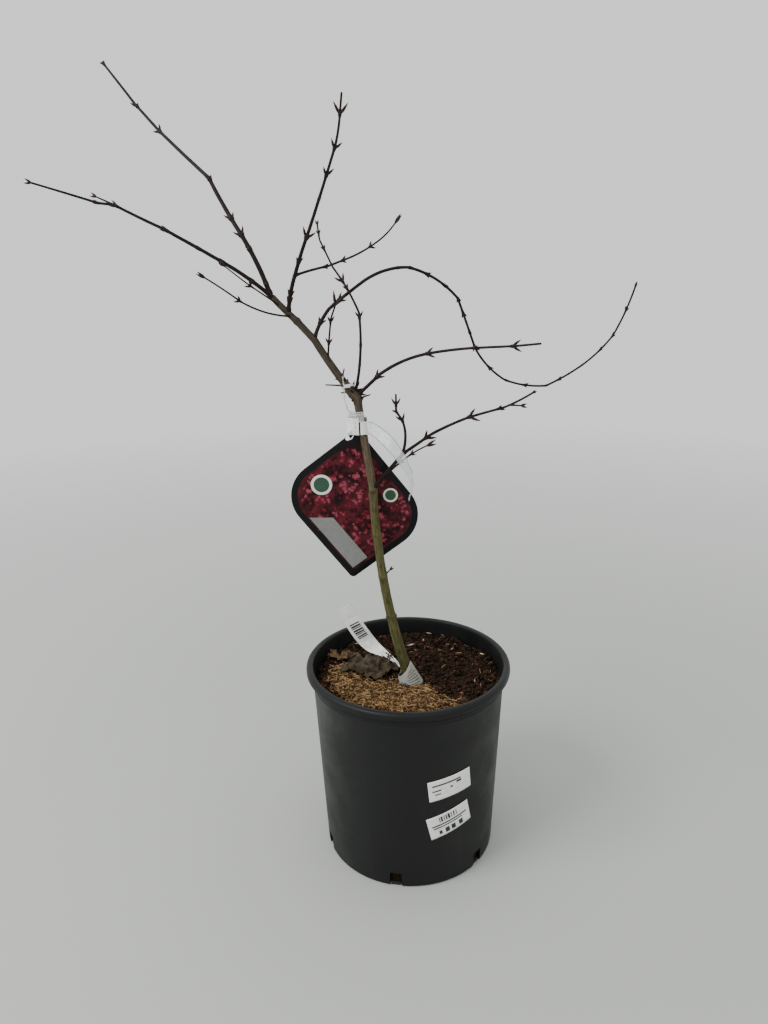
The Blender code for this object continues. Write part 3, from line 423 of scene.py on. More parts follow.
STICKER_MARKS = {
    "sticker_upper": [(-0.08, 0.24, 0.66, 0.07), (-0.32, -0.02, 0.20, 0.06), (0.02, -0.02, 0.06, 0.08),
                      (0.20, 0.12, 0.12, 0.10), (-0.30, -0.20, 0.14, 0.05)],
    "sticker_lower": [(-0.22, 0.28, 0.02, 0.24), (-0.17, 0.28, 0.04, 0.24), (-0.11, 0.28, 0.02, 0.24),
                      (-0.06, 0.28, 0.03, 0.24), (0.00, 0.28, 0.05, 0.24), (0.06, 0.28, 0.02, 0.24),
                      (0.12, 0.28, 0.03, 0.24), (0.18, 0.28, 0.02, 0.24), (0.00, 0.05, 0.84, 0.06),
                      (-0.05, -0.06, 0.70, 0.05), (-0.26, -0.30, 0.07, 0.16), (-0.10, -0.30, 0.10, 0.22),
                      (0.05, -0.30, 0.10, 0.22), (0.24, -0.30, 0.10, 0.22)],
}
CUFF_PRINT_MIDDLE = 0.83
CUFF_PRINT_WIDTH = 0.24
CUFF_RULE_HEIGHT = 0.03
STRIP_HAZE = 0.85
PAPER_PRINT_LIFT = 0.2
STICKER_LIFT = 0.35
STICKER = 0.3
STICKERS = {
    "sticker_upper": (-67.0, 125.5, 50.0, 25.0, 7.0),
    "sticker_lower": (-66.5, 80.5, 50.0, 28.0, 14.0),
}


# ---------------------------------------------------------------- colours and nodes
def linear(code):
    """An sRGB hex colour as linear red, green, blue and alpha."""
    shares = [int(code[index:index + 2], 16) / 255.0 for index in (1, 3, 5)]
    return (*[share / 12.92 if share <= 0.04045 else ((share + 0.055) / 1.055) ** 2.4
              for share in shares], 1.0)


def plug(tree, node, inputs):
    """Fill a node's sockets: with values, or linked from other nodes or their sockets."""
    for key, value in inputs.items():
        if isinstance(value, bpy.types.Node):
            value = next(socket for socket in value.outputs if socket.enabled)
        if isinstance(value, bpy.types.NodeSocket):
            tree.links.new(value, node.inputs[key])
        else:
            node.inputs[key].default_value = value


def add(tree, kind, inputs, stops=(), **settings):
    """Add one node with its own settings, its sockets filled, and a colour ramp's stops."""
    node = tree.nodes.new("ShaderNode" + kind)
    for key, value in settings.items():
        setattr(node, key, value)
    for _ in stops[2:]:
        node.color_ramp.elements.new(1.0)
    for index, (position, colour) in enumerate(stops):
        node.color_ramp.elements[index].position = position
        node.color_ramp.elements[index].color = tuple(colour)
    plug(tree, node, inputs)
    return node


def start_material(name, colour, roughness, **sockets):
    """A named material with its tree and shader, and plain values on the shader's sockets."""
    made = bpy.data.materials.new(name)
    made.use_nodes = True
    made.diffuse_color = tuple(colour)
    tree = made.node_tree
    shader = tree.nodes["Principled BSDF"]
    plain = {"Base Color": tuple(colour), "Roughness": roughness, "Specular IOR Level": DULL, **sockets}
    plug(tree, shader, {key.replace("_", " "): value for key, value in plain.items()})
    return made, tree, shader


def shaded(colour, share):
    """A darker or lighter version of a linear colour."""
    return (*[min(1.0, part * share) for part in tuple(colour)[:3]], 1.0)


def per_mm(size):
    """The scale that gives a pattern cells of this size in millimetres."""
    return 1.0 / (size * MM)


# ---------------------------------------------------------------- meshes and pieces
def mesh_from(bm, name, outward=True):
    """The mesh of a bmesh, which is freed, with the faces of a closed shape turned outwards."""
    if outward:
        bmesh.ops.recalc_face_normals(bm, faces=bm.faces)
    mesh = bpy.data.meshes.new(name)
    bm.to_mesh(mesh)
    bm.free()
    return mesh


def joined(name, meshes):
    """Several meshes in one, with their attributes."""
    bm = bmesh.new()
    for mesh in meshes:
        bm.from_mesh(mesh)
        bpy.data.meshes.remove(mesh)
    return mesh_from(bm, name, outward=False)


def piece(name, mesh, material, nodes=(), smooth=50.0):
    """Add a finished mesh as a piece on the one body, in place of the nodes named."""
    obj = bpy.data.objects.new(name, mesh)
    bpy.context.scene.collection.objects.link(obj)
    mesh.materials.append(material)
    mesh.shade_smooth()
    mesh.set_sharp_from_angle(angle=math.radians(smooth))
    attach(obj, "root")
    if nodes:
        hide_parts(*nodes)
    return obj


def thicken(obj, thickness, offset=0.0):
    """Give a sheet its thickness in millimetres."""
    step = obj.modifiers.new("Thickness", "SOLIDIFY")
    step.thickness = thickness * MM
    step.offset = offset


def scatter(name, templates, places):
    """Join many small copies into one mesh; a place is (template number, 4 by 4 matrix)."""
    shapes = []
    for template in templates:
        co = np.array([vert.co for vert in template.vertices])
        faces = [tuple(face.vertices) for face in template.polygons]
        shapes.append((co, faces))
        bpy.data.meshes.remove(template)
    verts, faces, first = [], [], 0
    for index, matrix in places:
        co, corners = shapes[index]
        turned = np.array(matrix)
        verts.append(co @ turned[:3, :3].T + turned[:3, 3])
        faces += [tuple(corner + first for corner in face) for face in corners]
        first += len(co)
    mesh = bpy.data.meshes.new(name)
    mesh.from_pydata(np.concatenate(verts), [], faces)
    return mesh


# ---------------------------------------------------------------- limbs, by the model's rule
def direction(bearing, rise):
    """The direction of a bearing and a rise."""
    across = math.cos(math.radians(rise))
    return Vector((across * math.cos(math.radians(bearing)),
                   across * math.sin(math.radians(bearing)),
                   math.sin(math.radians(rise))))


class Limb:
    """A limb's centre line in millimetres, its knots, and the radius along it."""

    ring_step = RING_STEP
    knot_swell = KNOT_SWELL

    def __init__(self, start, stretches, base, tip, knots=()):
        self.points, self.along, self.knots = [Vector(start)], [0.0], knots
        self.base, self.tip = base, tip
        for length, rise_from, rise_to, bearing in stretches:
            steps = max(2, math.ceil(length / CURVE_STEP))
            for step in range(steps):
                rise = rise_from + (rise_to - rise_from) * (step + 0.5) / steps
                self.points.append(self.points[-1] + direction(bearing, rise) * (length / steps))
                self.along.append(self.along[-1] + length / steps)
        self.length = self.along[-1]

    def place(self, distance):
        """The point and the direction at a distance along the limb."""
        index = min(max(bisect_left(self.along, distance), 1), len(self.along) - 1)
        first, last = self.points[index - 1], self.points[index]
        share = (distance - self.along[index - 1]) / (self.along[index] - self.along[index - 1])
        return first.lerp(last, share), (last - first).normalized()

    def swelling(self, distance, reach=KNOT_SWELL_REACH):
        """1 at a knot, falling to 0 on both sides of it."""
        return sum(math.exp(-((distance - knot) / reach) ** 2) for knot, _, _ in self.knots)

    def radius(self, distance):
        """Half the limb's thickness, which tapers evenly and swells at each knot."""
        plain = self.base + (self.tip - self.base) * distance / self.length
        return 0.5 * plain * (1.0 + self.knot_swell * self.swelling(distance))

    def bud_side(self, distance, turn):
        """The side on which a pair's first bud sits, swung about the limb from left and right."""
        heading = self.place(distance)[1]
        side = heading.cross(Vector((0.0, 1.0, 0.0))).normalized()
        return Matrix.Rotation(math.radians(turn), 3, heading) @ side

    def marks(self, first, last, tip_round=0.0):
        """Distances from first to last, closer together at each knot and over a round tip."""
        marks = [first]
        while marks[-1] < last:
            near = any(abs(marks[-1] - knot) < KNOT_REACH for knot, _, _ in self.knots)
            marks.append(marks[-1] + (KNOT_RING_STEP if near else self.ring_step))
        marks = [mark for mark in marks if mark < last - tip_round - TIP_GAP]
        if tip_round == 0.0:
            return marks + [last]
        return marks + [last - tip_round * (1.0 - share) for share in TIP_RINGS]


class Trunk(Limb):
    """The trunk, with its root flare and the swollen graft union."""

    ring_step = TRUNK_RING_STEP
    knot_swell = TRUNK_KNOT_SWELL

    def radius(self, distance):
        """Half the trunk's thickness at a distance from its cut foot."""
        height = max(distance, 0.0)
        taper = (TRUNK_FOOT_DIAMETER - TRUNK_WAIST_DIAMETER) * math.exp(-height / TRUNK_TAPER_LENGTH)
        above = max(0.0, height - GRAFT_UNION_AT) / (self.length - GRAFT_UNION_AT)
        plain = TRUNK_WAIST_DIAMETER + taper + (TRUNK_FORK_DIAMETER - TRUNK_WAIST_DIAMETER) * above
        flare = ROOT_FLARE * math.exp(-height / ROOT_FLARE_HEIGHT)
        union = GRAFT_UNION_SWELL * math.exp(-((height - GRAFT_UNION_AT) / GRAFT_UNION_REACH) ** 2)
        knots = self.knot_swell * plain * self.swelling(height)
        return 0.5 * (plain + flare + union + knots)


def lay_out_limbs():
    """The trunk and every shoot by name, each shoot from its place on its parent."""
    foot = (*TRUNK_FOOT, SOIL_LEVEL)
    knots = [(distance, size, 90 * index)
             for index, (distance, size) in enumerate(zip(TRUNK_KNOTS, TRUNK_SHOULDERS))]
    trunk = Trunk(foot, TRUNK_STRETCHES, TRUNK_FOOT_DIAMETER, TRUNK_FORK_DIAMETER, knots)
    limbs = {"trunk": trunk}
    for shoot, (parent, distance, base, tip, _, stretches) in SHOOTS.items():
        start = limbs[parent].place(distance)[0]
        limbs[shoot] = Limb(start, stretches, base, tip, KNOTS.get(shoot, ()))
    return limbs


LIMBS = lay_out_limbs()
TIE_MIDDLE = LIMBS["trunk"].place(TIE_AT)[0] + Vector(TIE_OFFSET)


def sleeve(sides, steps):
    """A straight open sleeve to be shaped: a unit circle carried up by one unit at each step."""
    bm = bmesh.new()
    bmesh.ops.create_circle(bm, segments=sides, radius=1.0)
    bmesh.ops.spin(bm, geom=bm.verts[:] + bm.edges[:], cent=(0, 0, 0), axis=(0, 0, 1), dvec=(0, 0, 1),
                   angle=0.0, steps=steps, use_merge=False, use_duplicate=False)
    return bm


def bark_skin(limb, first, last, sides, round_tip=False, wrinkle=None, collar_at=None):
    """Bark round a limb: a sleeve whose rings are put at the limb's marks.

    The place in the straightened limb stays on the mesh, so that streaks follow the limb.
    """
    rounding = TIP_ROUND * limb.radius(last) if round_tip else 0.0
    marks = limb.marks(first, last, rounding)
    bm = sleeve(sides, len(marks) - 1)
    straight = bm.verts.layers.float_vector.new("straight")
    scar = bm.verts.layers.float.new("scar")
    rings = []
    u = None
    for mark in marks:
        centre = limb.place(mark)[0]
        heading = (limb.place(min(mark + 1.0, limb.length))[0] - limb.place(mark - 1.0)[0]).normalized()
        u = heading.orthogonal() if u is None else u
        u = (u - heading * u.dot(heading)).normalized()
        rings.append((mark, centre, u, heading.cross(u)))
    shoulders = [(knot, size, limb.bud_side(knot, turn)) for knot, size, turn in limb.knots]
    for vert in bm.verts:
        mark, centre, u, v = rings[round(vert.co.z)]
        outward = u * vert.co.x + v * vert.co.y
        radius = limb.radius(mark)
        place = Vector((vert.co.x * radius, vert.co.y * radius, mark))
        streak = noise.noise(Vector((place.x / STREAK_WIDE, place.y / STREAK_WIDE, mark / STREAK_LONG)))
        lumps = noise.noise(Vector((place.x / LUMP_WIDE, place.y / LUMP_WIDE, mark / LUMP_LONG + SEED)))
        reach = radius * (1.0 + STREAK_DEPTH * (streak + lumps))
        for knot, size, side in shoulders:
            near = math.exp(-((mark - knot + SHOULDER_BELOW) / SHOULDER_REACH) ** 2)
            if near > 0.01:
                towards = abs(outward.dot(side))
                reach += radius * near * (SHOULDER * size * towards ** 3
                                          - KNOT_HOLLOW * limb.knot_swell * (1.0 - towards))
        if collar_at is not None:
            reach += radius * COLLAR * math.exp(-((mark - collar_at) / COLLAR_REACH) ** 2)
        if wrinkle:
            reach += wrinkle(place)
        if round_tip:
            left = min(1.0, (last - mark) / rounding)
            reach *= math.sqrt(max(0.0025, 1.0 - (1.0 - left) ** 2))
        vert[straight] = place * MM
        vert[scar] = min(1.0, limb.swelling(mark, SCAR_REACH))
        vert.co = (centre + outward * reach) * MM
    bmesh.ops.holes_fill(bm, edges=bm.edges[:], sides=0)
    return mesh_from(bm, "bark")


def trunk_wrinkle(place):
    """Callus folds round the graft union, and low ribs at the knot where the low bough leaves."""
    union = math.exp(-((place.z - GRAFT_UNION_AT) / UNION_WRINKLE_REACH) ** 2)
    fold = noise.noise(Vector((place.x / FOLD_WIDE, place.y / FOLD_WIDE, place.z / FOLD_LONG + SEED)))
    knot_at = SHOOTS["low"][1]
    knot = math.exp(-((place.z - knot_at + RIBS_BELOW_KNOT) / RIBS_REACH) ** 2)
    rib = abs(noise.noise(Vector((place.x / RIB_WIDE, place.y / RIB_WIDE, place.z / RIB_LONG))))
    return UNION_WRINKLE * union * fold + RIB_HEIGHT * knot * rib


# ---------------------------------------------------------------- sizes and colours to change
def tint(name, description, code):
    """A colour that can be changed, from its sRGB hex code."""
    return bpy.props.FloatVectorProperty(name=name, description=description, default=linear(code),
                                         size=4, min=0.0, max=1.0, subtype="COLOR")


def length(name, description, millimetres):
    """A length that can be changed, from its millimetres."""
    return bpy.props.FloatProperty(name=name, description=description, default=millimetres * MM,
                                   min=0.0, unit="LENGTH")


class MaplePotting(bpy.types.PropertyGroup):
    """The pot and what fills it."""
    pot: tint("Pot", "Colour of the moulded pot", "#121313")
    bed: tint("Bed", "Colour of the fine soil between the chips", "#1E150E")
    chip_dark: tint("Dark chips", "Colour of most bark chips", "#2B1E15")
    chip_red: tint("Red chips", "Colour of the fresher bark chips", "#462C1F")
    coir_light: tint("Light coir", "Colour of the paler fibres", "#A08058")
    coir_dark: tint("Dark coir", "Colour of the darker fibres", "#4B3524")
    sliver: tint("Slivers", "Colour of the split wood slivers", "#C9B79D")
    chip_size: length("Chip size", "Longest side of a middling bark chip", 3.9)
    chips: bpy.props.IntProperty(name="Chips", description="How many bark chips", default=6000, min=0)
    fibre_length: length("Fibre length", "Length of a middling coir fibre", 6.4)
    fibres: bpy.props.IntProperty(name="Fibres", description="How many coir fibres", default=5800, min=0)


class MapleBark(bpy.types.PropertyGroup):
    """The living plant."""
    low: tint("Low bark", "Olive bark low on the trunk", "#4A482C")
    middle: tint("Middle bark", "Browner bark over the low knot", "#524638")
    high: tint("High bark", "Grey-brown bark at the graft and over it", "#3D362D")
    shoot: tint("Shoot bark", "Purple-brown bark of the shoots", "#1D1514")
    shoot_light: tint("Shoot streaks", "Paler streaks of the shoots' bark", "#352D2A")
    bud: tint("Buds", "Colour of the bud scales", "#1F1011")
    bud_length: length("Bud length", "Length of a middling bud, from inside its shoot", 8.0)
    bud_radius: length("Bud radius", "Radius of a middling bud", 1.15)
    leaf: tint("Dead leaf", "Colour of the big dead leaf", "#40372C")
    leaf_small: tint("Small leaf", "Colour of the small curled leaf", "#55442F")


class MapleLabels(bpy.types.PropertyGroup):
    """The tag, its tie and the paper labels."""
    card: tint("Tag", "Colour of the tag's border", "#101111")
    panel: tint("Tag panel", "Darker ground of the tag's printed panel", "#1F0D10")
    panel_light: tint("Tag panel light", "Lighter ground of the printed panel", "#541A24")
    leaf_dark: tint("Dark leaves", "Darkest printed leaves", "#230C10")
    leaf_crimson: tint("Crimson leaves", "Middling printed leaves", "#74212E")
    leaf_bright: tint("Bright leaves", "Brightest printed leaves", "#9A4454")
    band: tint("Tag band", "Colour of the tag's plain band", "#7B7B79")
    disc: tint("Tag discs", "Colour of the tag's blank discs", "#DAD8CE")
    disc_inner: tint("Disc middles", "Colour of the discs' plain middles", "#35503F")
    paper: tint("Paper", "Colour of the coated paper labels", "#F0F0ED")
    # The cuff's colour is the label paper darkened as painted shade, for the shade the cuff lies in at the
    # trunk's foot.
    cuff: tint("Cuff", "Colour of the soiled paper cuff", "#999890")
    # The film edge colour is painted shade: grey for the darker look that light bent in the clear film gives
    # its folds and edges, where the film also lies doubled.
    edge: tint("Film edge", "Colour of the folded edges of the film", "#5C6060")
    ink: tint("Ink", "Colour of the generic bars and rules", "#3A3B3D")
    tie: tint("Tie", "Colour of the white tie", "#F2F2EF")
    film: tint("Film", "Tint of the clear film", "#DFE3E3")
    clearness: bpy.props.FloatProperty(name="Film cover", description="How much the film hides",
                                       default=0.36, min=0.0, max=1.0, subtype="FACTOR")


class MapleStage(bpy.types.PropertyGroup):
    """The floor, the light and the camera."""
    floor: tint("Floor", "Colour of the plain floor", "#B9BBB7")
    backdrop: tint("Backdrop", "Colour of the plain surroundings", "#E3E6E4")
    backdrop_light: bpy.props.FloatProperty(name="Backdrop light", description="Strength of the backdrop",
                                            default=1.35, min=0.0)
    lamp: bpy.props.FloatProperty(name="Lamp", description="Power of the soft lamp overhead",
                                  default=38.0, min=0.0, unit="POWER")
    focal: length("Focal length", "Focal length of the camera on its 36 mm sensor",
                  FOCAL_PIXELS * SENSOR / IMAGE_HEIGHT)


# ---------------------------------------------------------------- materials
def moulded_black_polypropylene(colour):
    """Injection-moulded black polypropylene: half matt, with dusty drifts and fine scuffs."""
    made, tree, shader = start_material("moulded_black_polypropylene", colour, 0.46, IOR=1.49,
                                        Specular_IOR_Level=0.24)
    place = add(tree, "TexCoord", {}).outputs["Object"]
    flat = add(tree, "Mapping", {"Vector": place, "Scale": (1.0, 1.0, 4.0)})
    dust = add(tree, "TexNoise", {"Vector": place, "Scale": per_mm(42), "Detail": 5.0, "Roughness": 0.6})
    scuff = add(tree, "TexNoise", {"Vector": flat, "Scale": per_mm(9), "Detail": 3.0})
    grain = add(tree, "TexNoise", {"Vector": place, "Scale": per_mm(1.1), "Detail": 2.0})
    speck = add(tree, "TexNoise", {"Vector": place, "Scale": per_mm(3.4), "Detail": 4.0, "Roughness": 0.7})
    dusty = add(tree, "MapRange", {"Value": dust, "From Min": 0.42, "From Max": 0.72, "To Max": 0.6})
    scuffed = add(tree, "MapRange", {"Value": scuff, "From Min": 0.60, "From Max": 0.80, "To Max": 0.35})
    dirty = add(tree, "MapRange", {"Value": speck, "From Min": 0.71, "From Max": 0.76, "To Max": 0.7})
    base = add(tree, "Mix", {0: dusty, 6: tuple(colour), 7: shaded(colour, 1.8)}, data_type="RGBA")
    base = add(tree, "Mix", {0: scuffed, 6: base, 7: shaded(colour, 2.4)}, data_type="RGBA")
    base = add(tree, "Mix", {0: dirty, 6: base, 7: linear(POT_DIRT)}, data_type="RGBA")
    dull = add(tree, "MapRange", {"Value": dust, "From Min": 0.3, "From Max": 0.7, "To Min": 0.36,
                                  "To Max": 0.58})
    relief = add(tree, "Bump", {"Height": grain, "Distance": 0.06 * MM, "Strength": 0.35})
    plug(tree, shader, {"Base Color": base, "Roughness": dull, "Normal": relief})
    return made


def composted_bark(name, colour, light, grit, under_coir=None):
    """Composted bark: matt and crumbly, dark where damp, with a lighter torn grain."""
    made, tree, shader = start_material(name, colour, 0.9)
    place = add(tree, "TexCoord", {}).outputs["Object"]
    grain = add(tree, "TexNoise", {"Vector": place, "Scale": per_mm(grit), "Detail": 4.0, "Roughness": 0.65})
    patch = add(tree, "TexNoise", {"Vector": place, "Scale": per_mm(9), "Detail": 1.0})
    torn = add(tree, "MapRange", {"Value": grain, "From Min": 0.42, "From Max": 0.70})
    damp = add(tree, "MapRange", {"Value": patch, "From Min": 0.35, "From Max": 0.65, "To Max": 0.6})
    base = add(tree, "Mix", {0: torn, 6: shaded(colour, 0.5), 7: tuple(light)}, data_type="RGBA")
    base = add(tree, "Mix", {0: damp, 6: base, 7: shaded(colour, 0.6)}, data_type="RGBA")
    if under_coir is not None:
        cover = add(tree, "Attribute", {}, attribute_name="coir").outputs["Fac"]
        dust = add(tree, "Mix", {0: torn, 6: shaded(under_coir, 0.35), 7: shaded(under_coir, 1.1)},
                   data_type="RGBA")
        base = add(tree, "Mix", {0: cover, 6: base, 7: dust}, data_type="RGBA")
    relief = add(tree, "Bump", {"Height": grain, "Distance": 0.6 * MM, "Strength": 0.8})
    plug(tree, shader, {"Base Color": base, "Normal": relief})
    return made


def coir(name, colour):
    """Coconut fibre: dry and straw-like, a little lighter on some strands."""
    made, tree, shader = start_material(name, colour, 0.85)
    place = add(tree, "TexCoord", {}).outputs["Object"]
    strand = add(tree, "TexNoise", {"Vector": place, "Scale": per_mm(3.0), "Detail": 2.0})
    share = add(tree, "MapRange", {"Value": strand, "From Min": 0.35, "From Max": 0.65})
    base = add(tree, "Mix", {0: share, 6: shaded(colour, 0.55), 7: shaded(colour, 1.35)}, data_type="RGBA")
    plug(tree, shader, {"Base Color": base})
    return made


def young_maple_bark(bark):
    """Young maple bark: smooth, olive low down and grey-brown higher, with long pale streaks."""
    made, tree, shader = start_material("young_maple_bark", bark.low, 0.6)
    place = add(tree, "TexCoord", {}).outputs["Object"]
    height = add(tree, "SeparateXYZ", {0: place}).outputs[2]
    along = add(tree, "Attribute", {}, attribute_name="straight").outputs["Vector"]
    scar = add(tree, "Attribute", {}, attribute_name="scar").outputs["Fac"]
    long = add(tree, "Mapping", {"Vector": along, "Scale": (1.0, 1.0, 0.07)})
    short = add(tree, "Mapping", {"Vector": along, "Scale": (1.0, 1.0, 0.3)})
    drift = add(tree, "TexNoise", {"Vector": short, "Scale": per_mm(8), "Detail": 2.0})
    blur = add(tree, "Math", {0: drift, 1: 0.10}, operation="MULTIPLY")
    level = add(tree, "Math", {0: height, 1: blur}, operation="ADD")
    share = add(tree, "MapRange", {"Value": level, "From Min": 0.24, "From Max": 0.72})
    base = add(tree, "ValToRGB", {0: share}, [
        (0.0, shaded(bark.low, 0.80)), (0.16, bark.low), (0.42, shaded(bark.low, 1.05)),
        (0.54, bark.middle), (0.74, bark.high), (1.0, shaded(bark.high, 0.75))])
    streak = add(tree, "TexNoise", {"Vector": long, "Scale": per_mm(1.5), "Detail": 4.0, "Roughness": 0.6})
    fine = add(tree, "TexNoise", {"Vector": short, "Scale": per_mm(0.6), "Detail": 3.0, "Roughness": 0.6})
    blot = add(tree, "TexNoise", {"Vector": short, "Scale": per_mm(3.2), "Detail": 4.0, "Roughness": 0.7})
    light = add(tree, "Mix", {0: 1.0, 6: base, 7: (2.1, 2.05, 1.95, 1.0)}, data_type="RGBA",
                blend_type="MULTIPLY")
    dark = add(tree, "Mix", {0: 1.0, 6: base, 7: (0.45, 0.43, 0.42, 1.0)}, data_type="RGBA",
               blend_type="MULTIPLY")
    streaked = add(tree, "MapRange", {"Value": streak, "From Min": 0.50, "From Max": 0.66, "To Max": 0.8})
    pitted = add(tree, "MapRange", {"Value": fine, "From Min": 0.55, "From Max": 0.75, "To Max": 0.55})
    blotched = add(tree, "MapRange", {"Value": blot, "From Min": 0.53, "From Max": 0.66, "To Max": 0.9})
    ringed = add(tree, "MapRange", {"Value": scar, "From Min": 0.6, "From Max": 1.0, "To Max": 0.5})
    base = add(tree, "Mix", {0: streaked, 6: base, 7: light}, data_type="RGBA")
    base = add(tree, "Mix", {0: pitted, 6: base, 7: dark}, data_type="RGBA")
    base = add(tree, "Mix", {0: blotched, 6: base, 7: dark}, data_type="RGBA")
    base = add(tree, "Mix", {0: ringed, 6: base, 7: dark}, data_type="RGBA")
    dull = add(tree, "MapRange", {"Value": streak, "From Min": 0.3, "From Max": 0.7, "To Min": 0.48,
                                  "To Max": 0.7})
    lumps = add(tree, "Math", {0: streak, 1: fine}, operation="ADD")
    relief = add(tree, "Bump", {"Height": lumps, "Distance": 0.4 * MM, "Strength": 0.9})
    plug(tree, shader, {"Base Color": base, "Roughness": dull, "Normal": relief})
    return made


def maple_shoot_bark(bark):
    """Two-year maple wood: dark purple-brown and a little waxy, streaked, with pale pores."""
    made, tree, shader = start_material("maple_shoot_bark", bark.shoot, 0.5)
    along = add(tree, "Attribute", {}, attribute_name="straight").outputs["Vector"]
    scar = add(tree, "Attribute", {}, attribute_name="scar").outputs["Fac"]
    long = add(tree, "Mapping", {"Vector": along, "Scale": (1.0, 1.0, 0.1)})
    short = add(tree, "Mapping", {"Vector": along, "Scale": (1.0, 1.0, 0.45)})
    streak = add(tree, "TexNoise", {"Vector": long, "Scale": per_mm(0.8), "Detail": 3.0, "Roughness": 0.6})
    patch = add(tree, "TexNoise", {"Vector": long, "Scale": per_mm(4), "Detail": 2.0})
    pores = add(tree, "TexVoronoi", {"Vector": short, "Scale": per_mm(1.5)}).outputs["Distance"]
    drift = add(tree, "MapRange", {"Value": patch, "From Min": 0.35, "From Max": 0.65})
    streaked = add(tree, "MapRange", {"Value": streak, "From Min": 0.55, "From Max": 0.74, "To Max": 0.6})
    dotted = add(tree, "MapRange", {"Value": pores, "From Min": 0.10, "From Max": 0.17, "To Min": 0.5,
                                    "To Max": 0.0})
    ringed = add(tree, "MapRange", {"Value": scar, "From Min": 0.5, "From Max": 1.0, "To Max": 0.4})
    base = add(tree, "Mix", {0: drift, 6: shaded(bark.shoot, 0.7), 7: shaded(bark.shoot, 1.25)},
               data_type="RGBA")
    base = add(tree, "Mix", {0: streaked, 6: base, 7: tuple(bark.shoot_light)}, data_type="RGBA")
    base = add(tree, "Mix", {0: dotted, 6: base, 7: shaded(bark.shoot_light, 1.4)}, data_type="RGBA")
    base = add(tree, "Mix", {0: ringed, 6: base, 7: shaded(bark.shoot_light, 1.2)}, data_type="RGBA")
    dull = add(tree, "MapRange", {"Value": streak, "From Min": 0.3, "From Max": 0.7, "To Min": 0.38,
                                  "To Max": 0.6})
    relief = add(tree, "Bump", {"Height": streak, "Distance": 0.2 * MM, "Strength": 0.8})
    plug(tree, shader, {"Base Color": base, "Roughness": dull, "Normal": relief})
    return made


def maple_bud_scales(bark):
    """Closed winter buds: dark maroon scales with a dull shine and browner edges."""
    made, tree, shader = start_material("maple_bud_scales", bark.bud, 0.42)
    place = add(tree, "TexCoord", {}).outputs["Object"]
    edge = add(tree, "TexNoise", {"Vector": place, "Scale": per_mm(1.0), "Detail": 2.0})
    share = add(tree, "MapRange", {"Value": edge, "From Min": 0.45, "From Max": 0.7, "To Max": 0.7})
    base = add(tree, "Mix", {0: share, 6: tuple(bark.bud), 7: linear(BUD_EDGE)}, data_type="RGBA")
    plug(tree, shader, {"Base Color": base})
    return made


def dry_maple_leaf(name, colour):
    """A leaf rotted to its skin: dull, blotched, with darker hollows."""
    made, tree, shader = start_material(name, colour, 0.75)
    place = add(tree, "TexCoord", {}).outputs["Object"]
    blot = add(tree, "TexNoise", {"Vector": place, "Scale": per_mm(9), "Detail": 5.0, "Roughness": 0.65})
    vein = add(tree, "TexNoise", {"Vector": place, "Scale": per_mm(2.2), "Detail": 4.0, "Roughness": 0.6})
    share = add(tree, "MapRange", {"Value": blot, "From Min": 0.36, "From Max": 0.68})
    base = add(tree, "Mix", {0: share, 6: shaded(colour, 0.5), 7: shaded(colour, 1.9)}, data_type="RGBA")
    relief = add(tree, "Bump", {"Height": vein, "Distance": 1.0 * MM, "Strength": 1.0})
    plug(tree, shader, {"Base Color": base, "Normal": relief})
    return made


def printed_card(name, colour, other=None, cell=5.0):
    """Laminated printed card: ink under a gloss film, drifting between two inks where it has two."""
    made, tree, shader = start_material(name, colour, 0.34, IOR=1.5)
    place = add(tree, "TexCoord", {}).outputs["Object"]
    mottle = add(tree, "TexNoise", {"Vector": place, "Scale": per_mm(cell), "Detail": 4.0})
    share = add(tree, "MapRange", {"Value": mottle, "From Min": 0.38, "From Max": 0.64})
    base = add(tree, "Mix", {0: share, 6: shaded(colour, 0.95), 7: shaded(other or colour, 1.05)},
               data_type="RGBA")
    plug(tree, shader, {"Base Color": base})
    return made


def coated_paper(name, colour):
    """Coated label paper: clean, half matt, with soft handling marks."""
    made, tree, shader = start_material(name, colour, 0.5)
    place = add(tree, "TexCoord", {}).outputs["Object"]
    mark = add(tree, "TexNoise", {"Vector": place, "Scale": per_mm(8), "Detail": 5.0, "Roughness": 0.6})
    share = add(tree, "MapRange", {"Value": mark, "From Min": 0.45, "From Max": 0.72, "To Max": 0.6})
    base = add(tree, "Mix", {0: share, 6: tuple(colour), 7: shaded(colour, 0.72)}, data_type="RGBA")
    relief = add(tree, "Bump", {"Height": mark, "Distance": 0.4 * MM, "Strength": 0.35})
    plug(tree, shader, {"Base Color": base, "Normal": relief})
    return made


def clear_film(name, colour, cover, roughness):
    """Blown polythene film: it hides little, and shines along its creases."""
    made, tree, shader = start_material(name, colour, roughness, Alpha=cover, IOR=1.5,
                                        Specular_IOR_Level=0.5)
    place = add(tree, "TexCoord", {}).outputs["Object"]
    crease = add(tree, "TexNoise", {"Vector": place, "Scale": per_mm(4), "Detail": 3.0, "Roughness": 0.6})
    relief = add(tree, "Bump", {"Height": crease, "Distance": 0.8 * MM, "Strength": 0.6})
    plug(tree, shader, {"Normal": relief})
    return made


# ---------------------------------------------------------------- pot and soil
def wall_radius(height):
    """Outer radius of the pot's wall, which flares evenly from the foot to under the lip."""
    return FOOT_RADIUS + (WALL_TOP_RADIUS - FOOT_RADIUS) * height / (POT_HEIGHT - LIP_HEIGHT)


